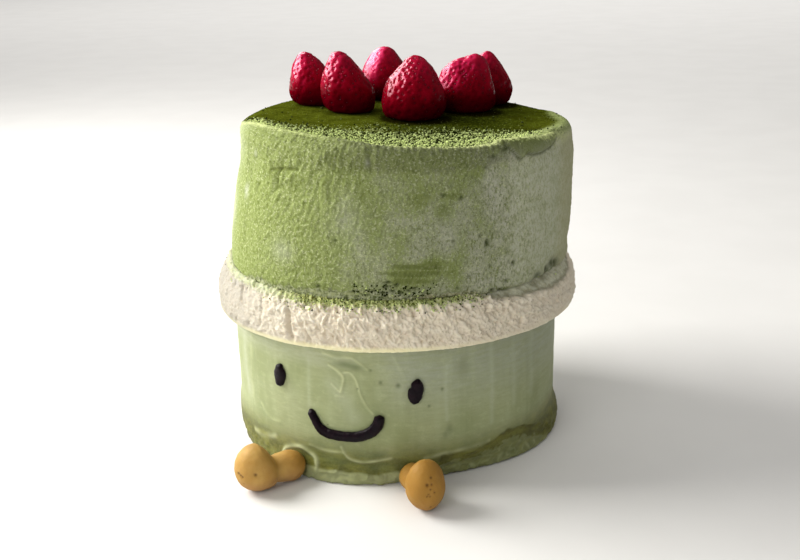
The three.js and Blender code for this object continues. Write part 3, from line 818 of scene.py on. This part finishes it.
def upper_frosting():
    corners = [
        (0, -34, 12), (72, -34, 2), (UPPER_R, -34, 0.6), (UPPER_R - 1, 28, 0.6),
        (UPPER_R - 5, 31, 0.9), (40.5, 31, 2.2), (0, 31, 1.3),
    ]
    skin = skin_over("upper_tier_frosting", "upper_tier", corners, 576, (7, 1))
    angle, height, points = skin.angle, skin.height, skin.points
    top = rise(skin.normals[:, 2], 0.45, 0.35)
    facing_up = rise(skin.normals[:, 2], 0.35, 0.3)
    side = 1 - top
    wall = side * rise(height, UPPER_FOOT_Z, 1.2)
    edge = noise(points, (7, 7, 12), 20)
    smear = rise(angle + 13 * edge, 42, 30) * fall(angle, 104, 12)
    smear *= fall(height, 149, 5)
    left = fall(angle, -30, 16) * rise(angle, -120, 20)

    grainy = (1 - 0.85 * smear) * (1 - 0.5 * left)
    slanted = noise(twisted(points, -0.33), (1.25, 1.25, 3), 21)
    fuzz = noise(points, (1.2, 1.2, 1.2), 22)
    broad = noise(points, (13, 13, 20), 23)
    relief = wall * (0.22 * broad + grainy * (0.36 * slanted + 0.3 * fuzz))
    wrinkled = between(angle, -46, 2, 8) * rise(height, 118, 14)
    relief += wall * wrinkled * 0.6 * (lumps(twisted(points, -0.2), (3.4, 3.4, 11), 29) - 0.5)
    brushed = between(angle, 11, 33, 4) * between(height, 94, 105, 2)
    relief += wall * brushed * 0.16 * noise(points, (16, 16, 1.5), 30)
    marks = skin.strokes(UPPER_MARKS, UPPER_R)
    relief += wall * marks
    shaded_holes = np.zeros(len(points))
    for at, level, wide, tall, deep in PITS:
        hole = skin.spot(at, level, UPPER_R, wide, tall)
        relief -= side * 1.3 * deep * hole
        shaded_holes = np.maximum(shaded_holes, min(1, 1.1 * deep) * hole)

    over = height - by_angle(angle, FLAP_EDGE) + 0.35 * fuzz
    crest = by_angle(angle, CREST_R)
    within = crest - skin.radius
    flap = smooth(over / 0.7) * between(angle, 50, 78, 2.2) * fall(within, 2.5, 3.5)
    crease = bell(over, -0.6, 0.8) * between(angle, 50, 78, 1.5)
    relief += 1.7 * flap
    shoulder = between(angle, 82, 122, 14) * bell(skin.radius, 78, 3)
    relief += 1.4 * shoulder * rise(height, 142, 5)
    sharp = between(angle, -2, 60, 10) * bell(within, -2.6, 2.2)
    relief += 1.6 * sharp * rise(height, 141, 5)
    ragged = 1.2 * noise(points, 4.5, 24) + 0.9 * noise(points, 1.6, 25)
    bare_edge = by_angle(angle, POWDER_EDGE) + ragged
    soft_edge = by_angle(angle, {-60: 2.6, -20: 2.2, 0: 1.2, 30: 1.6, 60: 2.4, 180: 1.2})
    bare = smooth((bare_edge - height) / soft_edge) * side
    relief -= 0.4 * bare * wall
    relief += 1.3 * between(angle, 46, 106, 8) * side * fall(height, 94, 6)
    strip_edge = bell(height - bare_edge, -0.6, 0.6) * side

    heap = crests(points, 1.8, 26) * 0.3 + 0.2 * noise(points, 1.1, 27)
    over_rim = top * fall(within, 1.5, 2) * rise(height, 140, 3)
    relief += over_rim * grainy * (0.36 * slanted + 0.3 * fuzz)
    near_rim = between(angle, -40, 80, 12) * rise(skin.radius, 40, 20)
    relief += top * heap * (0.7 + 1.1 * near_rim)
    skin.swell(relief)

    # Powder: thick inside the crest, thinning towards the front of the rim, and a dusting on
    # the side.
    front = between(angle, -16, 50, 10)
    right = between(angle, 66, 112, 22)
    fade = 1 + 2.6 * front + 13 * right
    inside = smooth((crest + 0.5 * ragged - skin.radius) / fade)
    over_top = skin.height > TOP_Z
    back_left = between(angle, -170, -78, 8)
    skin.mark("thick", over_top * inside * mixed(1, facing_up, back_left))
    reach = by_angle(angle, SPECKLE_REACH)
    flecked = between(angle, -58, 70, 14) * np.clip((reach - within) / (0.88 * reach), 0, 1)
    skin.mark("flecked", over_top * facing_up * flecked * rise(within, -2.5, 1.5))
    way = math.radians(VIEW_ANGLE)
    side_on = points[:, 0] * math.cos(way) + points[:, 1] * math.sin(way)
    # Painted shade on the top, in a band right of the middle as the camera sees it, where the
    # strawberries' shadows fall.
    skin.mark("shaded_band", between(side_on, 14, 40, 34))
    # Painted shadows of the strawberries on the powder at their feet.
    skin.mark("wet", over_top * shadow_of_fruit(points))
    pale = skin.spots(PALE_SPOTS, UPPER_R)
    olive = skin.spots(OLIVE_PATCHES, UPPER_R)
    powder = by_angle(angle, SIDE_POWDER) + 0.16 * rise(height, 128, 20)
    powder += 0.26 * noise(points, (9, 9, 13), 28) - 0.5 * smear - 0.6 * pale + 0.5 * olive
    on_rim = by_angle(angle, {-60: 0.85, -15: 0.8, 8: 0.55, 60: 0.5, 100: 0.6, 180: 0.8})
    powder = mixed(powder, on_rim, top) * (1 - bare)
    # Painted highlight: a thin light line along the crest of the rim, strongest at the right.
    rim_highlight = bell(skin.radius - crest, 1, 1.4) * rise(height, 143, 4)
    rim_highlight *= by_angle(angle, {-180: 0.4, -60: 0.9, -10: 0.3, 20: 0.5, 34: 1, 80: 1, 110: 0.4})
    skin.mark("powder", powder)
    skin.mark("pale", pale + 0.3 * smear)
    # Olive where the powder lies thicker, in the grooves and on the flap; in the crease under the
    # flap it is partly painted shade.
    skin.mark("olive", side * (olive + 0.4 * crease - marks) + 0.8 * flap)
    # Painted shade: the side and the rounded rim are darkened, most at the front right and on the
    # band just below the crest.
    dim = by_angle(angle, {-60: 0, -12: 0.15, 8: 0.4, 30: 0.6, 46: 0.5, 58: 0.1, 80: 0, 180: 0.1})
    skin.mark("dim", (side + over_rim) * dim * (1 + 1.6 * rise(height, 140, 6)), 2)
    # Painted shade in the holes, in the crease under the flap and as a dark line along the upper
    # edge of the bare strip.
    skin.mark("shaded_holes", shaded_holes + 0.75 * crease * side + 0.15 * strip_edge)
    skin.mark("bare", bare)
    skin.mark("warm", by_angle(angle, {-60: 0.1, 10: 0.2, 24: 1, 60: 0.8, 84: 0.3, 180: 0.6}))
    skin.mark("edge_brown", side * between(angle, 84, 120, 10))
    skin.mark("smear", smear)
    skin.mark("rim_highlight", rim_highlight)
    skin.piece(dusted_material(), "dusted_frosting", "upper_tier")
    return skin


FRESH_POWDER = (0.06, 0.072, 0.005)
SHADED_POWDER = (0.022, 0.029, 0.002)


def dusted_material():
    m = Material("dusted_frosting", 0.9, 0)
    dusted = (0.255, 0.305, 0.105)
    deep, dark, light = (0.135, 0.17, 0.035), (0.03, 0.04, 0.01), (0.54, 0.58, 0.34)
    speck = m.noise(0.9, 2, 0.6)
    grain = m.noise(1.15, 3, 0.65, (1, 1, 1.6))
    smooth_part = m.maths("SUBTRACT", 1, m.times(m.kept("smear"), 0.45))
    cloudy = m.ramp(m.noise(7, 3, 0.6, (1, 1, 0.6)), 0.35, 0.68)
    coat = m.plus(m.kept("powder"), m.times(grain, 1.5))
    grey = m.blend(cloudy, (0.46, 0.47, 0.35), (0.35, 0.37, 0.24))
    coated = m.times(m.ramp(coat, 0.9, 1.4), smooth_part)
    m.colour = m.blend(coated, grey, dusted)
    m.lay(deep, m.times(m.ramp(grain, 0.56, 0.36), smooth_part), 0.75)
    fuzzy = m.times(m.ramp(speck, 0.52, 0.68), 0.55)
    m.lay(light, m.times(fuzzy, smooth_part))
    lines = m.noise(1.1, 3, 0.6, (8, 8, 1))
    olive = m.plus(m.kept("olive"), m.times(m.plus(grain, lines), 0.5))
    m.lay((0.15, 0.18, 0.05), m.ramp(olive, 0.7, 1.25), 0.75)
    m.lay((0.51, 0.53, 0.41), "pale", 0.62)
    m.lay((0.34, 0.32, 0.17), "edge_brown", 0.4)
    strip = m.blend(m.kept("warm"), (0.36, 0.4, 0.19), (0.35, 0.32, 0.18))
    streak = m.ramp(m.noise(1.2, 4, 0.7, (3.5, 3.5, 1)), 0.4, 0.62)
    strip = m.blend(m.times(streak, 0.85), (0.085, 0.105, 0.035), strip)
    strip = m.blend(m.times(m.ramp(grain, 0.45, 0.65), 0.7), strip, (0.5, 0.52, 0.34))
    # The painted shade on the side and rim.
    m.lay((0.6, 0.58, 0.66), "dim", mode="MULTIPLY")
    m.lay(strip, "bare", 0.85)
    # The top's powder, darkened in that band of painted shade.
    fresh = m.blend(m.kept("shaded_band"), FRESH_POWDER, SHADED_POWDER)
    clotted = m.ramp(m.noise(1.1, 3, 0.7), 0.48, 0.64)
    fresh = m.blend(m.times(clotted, 0.6), fresh, (0.115, 0.148, 0.014))
    drifts = m.times(m.ramp(m.noise(9, 3, 0.6), 0.4, 0.66), 0.55)
    fresh = m.blend(drifts, fresh, (0.024, 0.026, 0.0005))
    # The strawberries' painted shadows, nearly black, at their feet.
    shadowed = m.ramp(m.plus(m.kept("wet"), m.times(speck, 0.4)), 0.3, 0.95)
    fresh = m.blend(m.times(shadowed, 0.92), fresh, (0.007, 0.005, 0.0004))
    heap = m.plus(m.kept("thick"), speck)
    m.lay(fresh, m.ramp(heap, 0.75, 1.25))
    flecks = m.plus(m.noise(1, 2, 0.6), m.times(m.kept("flecked"), 0.24))
    m.lay((0.41, 0.47, 0.19), m.ramp(flecks, 0.68, 0.77))
    # The painted highlight on the crest.
    m.lay((0.53, 0.57, 0.27), m.times(m.kept("rim_highlight"), m.ramp(speck, 0.34, 0.6)), 0.8)
    # The painted shade in the holes, the crease and the strip's edge.
    m.lay(dark, "shaded_holes", 0.85)
    m.bump(m.noise(1, 3, 0.65), 0.4)
    m.bump(speck, 0.2)
    return m.finish()


# ---- Strawberries -------------------------------------------------------------------------

SEED_GAP = 3.7
SEEDED = 1.78  # how far down from the tip the seeds reach, of 2 for the whole height
GOLDEN_ANGLE = 137.508


def berry(number, which, material, seeds):
    _, sheen_strength, pit_depth = BERRIES[which]
    node = "strawberry_" + which
    low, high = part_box(node)
    wide = (high[0] - low[0]) / (2 * MM)
    tall = (high[2] - low[2]) / (2 * MM)
    corners = []
    for i in range(25):
        way = math.pi * i / 24
        corners.append((wide * math.sin(way), -tall * math.cos(way), 0.4))
    corners[0] = (0, -tall, 0.4)
    corners[-1] = (0, tall, 0.4)
    skin = skin_over(node + "_fruit", node, corners, 224, (6, 3), 0.25)
    tree = tree_of(skin.mesh)
    centre = skin.centre

    # Seeds stand in a spiral, an even distance apart from the tip to near the hull.
    count = round(4 * math.pi * wide * tall / SEED_GAP**2)
    jitter = np.random.default_rng(number + 40)
    places = []
    for k in range(count):
        level = 1 - SEEDED * (k + 0.5) / count
        way = math.radians(k * GOLDEN_ANGLE + jitter.normal() * 6)
        level = min(0.995, level + jitter.normal() * 0.01)
        flat = math.sqrt(1 - level * level)
        towards = Vector((wide * flat * math.sin(way), wide * flat * math.cos(way), tall * level))
        spot, normal, _, _ = tree.ray_cast(centre, towards.normalized())
        places.append((np.array(spot), np.array(normal), jitter.uniform(0.8, 1.15), level))

    relief = 0.6 * noise(skin.points, 7.5, 30) + 0.06 * noise(skin.points, 1.4, 31)
    pit = np.zeros(len(skin.points))
    for spot, _, size, _ in places:
        gap = np.linalg.norm(skin.points - spot, axis=1)
        near = gap < 3.4
        pit[near] = np.maximum(pit[near], bell(gap[near], 0, size))
    relief -= pit_depth * pit
    above = smooth((skin.height - low[2] / MM) / 1.2)
    skin.swell(relief * above)
    share = (skin.height - low[2] / MM) / (2 * tall)
    skin.mark("pit", pit)
    skin.mark("up", share)
    # Painted sheen: the side of the berry that faces up and left, towards the lamps, is painted
    # pink in place of the light's broad reflection.
    faces_up_left = skin.normals @ np.array((-0.8, -0.25, 0.54))
    painted_sheen = smooth((faces_up_left - 0.2 + 0.12 * noise(skin.points, 5, 32)) / 0.5)
    raised = smooth((share - 0.32 + 0.14 * noise(skin.points, 6, 33)) / 0.4)
    skin.mark("painted_sheen", sheen_strength * painted_sheen * raised)
    skin.piece(material, "strawberry", node)
    for spot, normal, size, level in places:
        # A seed's tone is lower further down the berry, for painted shade on the lower seeds.
        seeds.append((spot - normal * 0.42, normal, 0.36 * size, 0.5 + 0.5 * level))


def berry_material():
    m = Material("strawberry_skin", ior=1.38)
    m.shader.inputs["Specular Tint"].default_value = (1, 0.25, 0.45, 1)
    m.soften(0.08, 3, (1, 0.08, 0.1))
    crimson, ruby, wine = (0.17, 0.0002, 0.005), (0.28, 0.0008, 0.01), (0.042, 0.0001, 0.002)
    m.colour = m.blend(m.ramp(m.noise(5, 3), 0.35, 0.7), crimson, ruby)
    # Lighter red towards the tip; painted shade darkens the lower part towards the foot and the
    # flesh in the pits.
    m.lay((0.42, 0.008, 0.04), m.ramp(m.kept("up"), 0.55, 1), 0.5)
    # The painted pink sheen, brightest where it is strongest.
    m.lay((0.58, 0.018, 0.085), "painted_sheen")
    m.lay((0.8, 0.07, 0.18), m.ramp(m.kept("painted_sheen"), 0.78, 1))
    m.lay(wine, m.ramp(m.kept("up"), 0.6, 0.12), 0.93)
    m.lay(wine, "pit", 0.25)
    m.bump(m.noise(0.8, 3, 0.5), 0.06)
    gloss = {"Value": m.kept("up"), "From Min": 0.3, "From Max": 0.7, "To Min": 0, "To Max": 0.7}
    m.give(m.shader.inputs["Specular IOR Level"], m.node("MapRange", gloss).outputs[0])
    rough = m.node("MapRange", {"Value": m.noise(1.2, 2), "To Min": 0.1, "To Max": 0.2})
    return m.finish(rough.outputs[0])


def seed_material():
    m = Material("strawberry_seed", 0.45, 0.35)
    tan, red = (0.42, 0.06, 0.085), (0.24, 0.008, 0.02)
    m.colour = m.blend(m.ramp(m.noise(2.2, 2), 0.42, 0.62), red, tan)
    # Painted shade: the seeds low on the berry are darker.
    m.lay((0.07, 0.002, 0.006), m.ramp(m.kept("tone"), 0.85, 0.45))
    m.bump(m.noise(0.25, 2), 0.05)
    return m.finish()


def nut_faces():
    faces = []
    for i in range(5):
        j = (i + 1) % 5
        faces += [(0, 1 + j, 1 + i), (1 + i, 1 + j, 6 + i)]
        faces += [(1 + j, 6 + j, 6 + i), (6 + i, 6 + j, 11)]
    return faces


# A small twelve-cornered nut for a seed and a six-cornered one for powder: each is its length,
# width and height for a size of 1, its points and its faces.
SEED = (
    (0.7, 1.1, 0.45),
    np.array(
        [(0, 0, -1)]
        + [(math.cos(a) * 0.8, math.sin(a) * 0.8, -0.45) for a in np.arange(5) * 2 * math.pi / 5]
        + [(math.cos(a + 0.63), math.sin(a + 0.63), 0.4) for a in np.arange(5) * 2 * math.pi / 5]
        + [(0, 0, 1)]
    ),
    nut_faces(),
)
GRIT = (
    (1, 1, 0.8),
    np.array([(1, 0, 0), (0, 1, 0), (-1, 0, 0), (0, -1, 0), (0, 0, 1), (0, 0, -1)]),
    [(i, (i + 1) % 4, 4) for i in range(4)] + [((i + 1) % 4, i, 5) for i in range(4)],
)


def scatter(name, items, material, slot, grain, turned_by=math.pi):
    """One mesh of many small grains. An item is (place, normal, size, tone), and it is turned up
    to turned_by about its normal."""
    axes, shape, shape_faces = grain
    draws = np.random.default_rng(60)
    points, faces, tones = [], [], []
    for place, normal, size, tone in items:
        frame_up = Vector(normal).to_track_quat("Z", "Y").to_matrix()
        spin = Matrix.Rotation(draws.uniform(-turned_by, turned_by), 3, "Z")
        shaped = shape * axes * size * draws.uniform(0.8, 1.2, 3)
        first = len(points)
        points.extend(shaped @ np.array(frame_up @ spin).T + place)
        faces.extend(tuple(first + k for k in face) for face in shape_faces)
        tones.extend([tone] * len(shape))
    mesh = bpy.data.meshes.new(name)
    mesh.from_pydata(np.array(points) * MM, [], faces)
    mesh.update()
    tone_data = mesh.attributes.new("tone", "FLOAT", "POINT")
    tone_data.data.foreach_set("value", np.array(tones, np.float32))
    mesh.shade_smooth()
    placed(name, mesh, material, slot)


def strawberries():
    seeds = []
    skin_material = berry_material()
    for number, which in enumerate(BERRIES):
        berry(number, which, skin_material, seeds)
    scatter("strawberry_seeds", seeds, seed_material(), "strawberry", SEED, 0.4)


# ---- Loose powder -------------------------------------------------------------------------


def grains_on(skin, chance, draws, light_share, sizes, palest):
    """Grains on some of a skin's points: place, normal, size and tone (0 dark, 1 light)."""
    items = []
    chosen = np.flatnonzero(draws.random(len(chance)) < chance)
    for k in chosen:
        size = sizes[0] + (sizes[1] - sizes[0]) * draws.random() ** 1.5
        light = draws.random() < light_share[k]
        tone = (0.65 + 0.35 * draws.random()) * palest[k] if light else 0.15 * draws.random()
        normal = skin.normals[k]
        place = skin.points[k] + normal * 0.35 * size + draws.normal(size=3) * 0.2
        items.append((place, normal, size, tone))
    return items


def loose_powder(upper_skin, cream_skin):
    """Grains and clumps of powder on the rim's front, on the cream and along the join."""
    draws = np.random.default_rng(70)
    skin = upper_skin
    angle, height, radius = skin.angle, skin.height, skin.radius
    top = skin.normals[:, 2] > 0.5
    within = by_angle(angle, CREST_R) - radius
    reach = by_angle(angle, SPECKLE_REACH)
    front = between(angle, -58, 68, 14) * np.clip((reach - within) / (0.8 * reach), 0, 1)
    chance = np.where(top, 0.004 + 0.36 * front, 0) * (within > 0.3)
    lightness = 0.15 + 0.62 * front
    items = grains_on(skin, chance, draws, lightness, (0.32, 0.66), 0.25 + 0.75 * front)
    chips = between(angle, 5, 25, 4) * between(height, 90, 94.5, 1) * ~top
    items += grains_on(skin, 0.2 * chips, draws, 0.15 * chips, (0.3, 0.6), np.ones(len(angle)))
    skin = cream_skin
    angle, height, radius = skin.angle, skin.height, skin.radius
    ledge = (height > 83.2) * (radius > 77) * rise(skin.normals[:, 2], -0.1, 0.5)
    chance = 0.14 * ledge * between(angle, -16, 38, 10) + 0.006 * ledge
    even = np.ones(len(angle))
    items += grains_on(skin, chance, draws, 0.66 * even, (0.25, 0.5), even)
    m = Material("powder_clumps", 0.95, 0.02)
    tone = m.plus(m.kept("tone"), m.times(m.noise(1.2, 2), 0.2))
    m.colour = m.blend(m.ramp(tone, 0.1, 1.05), (0.012, 0.018, 0.001), (0.56, 0.66, 0.25))
    m.bump(m.noise(0.3, 2), 0.06)
    scatter("powder_clumps", items, m.finish(), "dusted_frosting", GRIT)


# ---- Chocolate and marzipan ---------------------------------------------------------------


def remeshed(name, node, voxel, rounds):
    """A fine, evened-out copy of a node's solid."""
    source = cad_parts[node]
    copy = linked(name, source.data.copy())
    weld = copy.modifiers.new("weld", "WELD")
    weld.merge_threshold = 0.01 * MM
    cells = copy.modifiers.new("cells", "REMESH")
    cells.mode = "VOXEL"
    cells.voxel_size = voxel * MM
    even = copy.modifiers.new("even", "SMOOTH")
    even.factor = 0.5
    even.iterations = rounds
    graph = bpy.context.evaluated_depsgraph_get()
    mesh = bpy.data.meshes.new_from_object(copy.evaluated_get(graph))
    bpy.data.objects.remove(copy)
    points = [v.co / MM for v in mesh.vertices]
    faces = [p.vertices[:] for p in mesh.polygons]
    bpy.data.meshes.remove(mesh)
    return Skin(name, points, faces, Vector((0, 0, 0)))


# Where the beads of chocolate swell (or dent in): angle, height, half width, half height, mm.
BEAD_SWELLS = {
    "eye_right": [(21.8, 48.3, 0.7, 0.8, -1.2), (24.3, 51, 1.2, 1.4, 0.3), (26, 44.4, 1, 3, -0.35)],
    "eye_left": [
        (-26.4, 47.8, 1, 1.8, 0.35), (-26.3, 51.4, 1, 1.7, -0.95), (-21.9, 51.4, 1, 1.9, -0.95),
        (-26.6, 42.2, 0.9, 1.5, -0.7),
    ],
    "mouth": [
        (-11.4, 33.4, 2, 2.2, 0.35), (-9.4, 23.2, 1.6, 1.6, 0.55), (11.4, 24.4, 1.6, 1.6, 0.5),
        (1.5, 26.2, 6, 1, -0.3),
    ],
}


def face():
    m = Material("chocolate", 0.42, 0.12)
    black, brown = (0.004, 0.0014, 0.0035), (0.009, 0.003, 0.006)
    m.colour = m.blend(m.ramp(m.noise(2.5, 2), 0.35, 0.7), black, brown)
    m.bump(m.noise(0.9, 2, 0.5), 0.12)
    chocolate = m.finish()
    for node, seed in (("eye_left", 50), ("eye_right", 51), ("mouth", 52)):
        skin = remeshed(node + "_bead", node, 0.26, 3)
        relief = 0.3 + 0.14 * noise(skin.points, 2.2, seed) + 0.06 * noise(skin.points, 0.9, seed)
        relief += skin.spots(BEAD_SWELLS[node], WALL_R)
        skin.swell(relief)
        skin.piece(chocolate, "chocolate", node)


LOOK_DOWN = 18.27  # degrees that the camera looks down

# The middle of each foot, as angle, radius and height, and the pits in it: how far to the right
# of and above its middle they look from the front, half width and depth.
FEET = {
    "leg_left": ((-21.3, 100.2, 11), [
        (-7.2, -1.6, 0.55, 0.6), (-6.3, -2.4, 0.5, 0.6), (-5.4, -3.1, 0.55, 0.7),
        (0.8, -1.9, 0.7, 0.5),
    ]),
    "leg_right": ((24.1, 99.8, 11.85), [
        (0.8, 1.2, 0.65, 0.8), (2.5, 4.3, 0.45, 0.5), (2.7, 1.4, 0.45, 0.5),
        (2.1, -0.8, 0.4, 0.45), (1.2, -2.9, 0.35, 0.45), (0.6, -3.9, 0.35, 0.45),
        (1.9, -3.9, 0.35, 0.45), (3.9, -2.3, 0.35, 0.45), (2.1, -8.8, 0.35, 0.45),
    ]),
}


def legs():
    m = Material("marzipan", 0.6, 0.2)
    m.soften(0.2, 4, (1, 0.6, 0.25))
    m.colour = m.blend(m.ramp(m.noise(8, 3), 0.35, 0.7), (0.46, 0.28, 0.075), (0.4, 0.225, 0.055))
    m.lay((0.33, 0.17, 0.085), "low", 0.6)
    m.lay((0.3, 0.15, 0.03), m.ramp(m.noise(1.1, 3, 0.6), 0.5, 0.75), 0.15)
    # The painted shade on the stub and the right leg.
    m.lay((0.3, 0.145, 0.018), "leg_shade", 0.7)
    # The painted shade in the pits and cracks.
    m.lay((0.09, 0.035, 0.01), "pit", 0.9)
    m.bump(m.noise(1.8, 3, 0.5), 0.12)
    m.bump(m.noise(0.5, 2, 0.5), 0.05)
    marzipan = m.finish()
    way, tilt = math.radians(VIEW_ANGLE), math.radians(LOOK_DOWN)
    right = np.array((math.cos(way), math.sin(way), 0))
    ahead = np.array((-right[1], right[0], 0))
    upward = ahead * math.sin(tilt) + np.array((0, 0, math.cos(tilt)))
    for node, seed in (("leg_left", 54), ("leg_right", 55)):
        skin = remeshed(node + "_marzipan", node, 0.45, 8)
        points = skin.points
        relief = 0.25 * noise(points, 8, seed) + 0.08 * noise(points, 2.2, seed)
        (way, far, level), pits = FEET[node]
        way = math.radians(way)
        foot = np.array((far * math.sin(way), -far * math.cos(way), level))
        across, above = (points - foot) @ right, (points - foot) @ upward
        facing = smooth(-(skin.normals @ ahead) * 4)
        pit = np.zeros(len(points))
        for x, y, size, deep in pits:
            hole = np.exp(-(((across - x) ** 2 + (above - y) ** 2) / size**2)) * facing
            relief -= deep * hole
            pit = np.maximum(pit, hole)
        cracks = rise(noise(points, (1.3, 1.3, 0.9), seed + 8), 0.7, 0.12)
        cracks *= rise(noise(points, 6, seed + 3), 0.3, 0.2)
        skin.swell((relief - 0.25 * cracks) * smooth(skin.height / 1.5))
        # Painted shade in the pits and cracks.
        skin.mark("pit", pit + 0.5 * cracks)
        skin.mark("low", fall(skin.height, 10, 9))
        # Painted shade: the stub near the wall and the whole right leg, on the shaded side, are
        # darker and more yellow.
        stub = fall(skin.radius, 91, 6)
        skin.mark("leg_shade", np.maximum(0.75 * stub, float(node == "leg_right")))
        skin.piece(marzipan, "marzipan", node)


# ---- Stage, light and camera --------------------------------------------------------------

EYE_BACK, EYE_SIDE, EYE_UP = 532.1, 2.4, 246.4  # from the origin
ROLL = -1.62
LENS_PIXELS = 1142  # focal length, in pixels of an image this wide
IMAGE_WIDTH = 800
SKY_STRENGTH = 0.4
FLOOR_HALF = 20  # metres


def towards_view(side, back, up):
    """A place given as seen from the camera: to the right, away from it, and up."""
    way = math.radians(VIEW_ANGLE)
    x = side * math.cos(way) - back * math.sin(way)
    y = side * math.sin(way) + back * math.cos(way)
    return Vector((x, y, up)) * MM


def camera():
    data = bpy.data.cameras.new("camera")
    data.sensor_width = 36
    data.lens = 36 * LENS_PIXELS / IMAGE_WIDTH
    data.clip_start = 0.01
    data.clip_end = 50
    made = linked("camera", data)
    made.matrix_world = (
        Matrix.Translation(towards_view(EYE_SIDE, -EYE_BACK, EYE_UP))
        @ Matrix.Rotation(math.radians(VIEW_ANGLE), 4, "Z")
        @ Matrix.Rotation(math.radians(90 - LOOK_DOWN), 4, "X")
        @ Matrix.Rotation(math.radians(ROLL), 4, "Z")
    )
    bpy.context.scene.camera = made


def soft_light(name, place, size, power, colour, aim_at=(0, 0, 110), kinds=("diffuse", "glossy")):
    """A wide lamp; kinds says which kinds of rays see it."""
    data = bpy.data.lights.new(name, "AREA")
    data.shape = "RECTANGLE"
    data.size, data.size_y = size[0] * MM, size[1] * MM
    data.energy = power
    data.color = colour
    light = linked(name, data)
    light.visible_diffuse = "diffuse" in kinds
    light.visible_glossy = "glossy" in kinds
    light.location = towards_view(*place)
    aim = towards_view(*aim_at) - light.location
    light.rotation_mode = "QUATERNION"
    light.rotation_quaternion = aim.to_track_quat("-Z", "Y")


def stage():
    mesh = bpy.data.meshes.new("floor")
    far = FLOOR_HALF
    corners = [(-far, -far, 0), (far, -far, 0), (far, far, 0), (-far, far, 0)]
    mesh.from_pydata(corners, [], [(0, 1, 2, 3)])
    m = Material("floor", 0.9, 0.1)
    m.colour = m.blend(m.ramp(m.noise(60, 3), 0.3, 0.7), (0.74, 0.73, 0.71), (0.76, 0.75, 0.73))
    mesh.materials.append(m.finish())
    floor = linked("floor", mesh)
    world = bpy.data.worlds.new("world")
    world.use_nodes = True
    # The room is dimmer in reflections than in the light it gives, as beyond a soft light tent.
    nodes = world.node_tree.nodes
    sky = nodes["Background"]
    sky.inputs["Color"].default_value = (1, 0.99, 0.97, 1)
    paths = nodes.new("ShaderNodeLightPath")
    dimmed = nodes.new("ShaderNodeMapRange")
    dimmed.inputs["To Min"].default_value = SKY_STRENGTH
    dimmed.inputs["To Max"].default_value = 0.2 * SKY_STRENGTH
    world.node_tree.links.new(paths.outputs["Is Glossy Ray"], dimmed.inputs["Value"])
    world.node_tree.links.new(dimmed.outputs[0], sky.inputs["Strength"])
    bpy.context.scene.world = world
    bpy.context.scene.view_settings.view_transform = "Standard"
    soft_light("key", (-760, 190, 620), (620, 620), 17.5, (1, 0.985, 0.95))
    white = (1, 0.99, 0.98)
    soft_light("front", (-420, -700, 420), (500, 500), 2.3, white, kinds=("diffuse",))
    over_backdrop, backdrop = (200, 2500, 1500), (200, 2350, 0)
    soft_light("backdrop", over_backdrop, (3600, 2400), 38, white, backdrop, ("diffuse",))
    soft_light("sheen", (-420, 560, 560), (620, 460), 5.5, white, (0, 0, 165), ("glossy",))


# ---- The cake -----------------------------------------------------------------------------

camera()
stage()
lower_frosting()
cream_skin = cream()
upper_skin = upper_frosting()
loose_powder(upper_skin, cream_skin)
strawberries()
face()
legs()
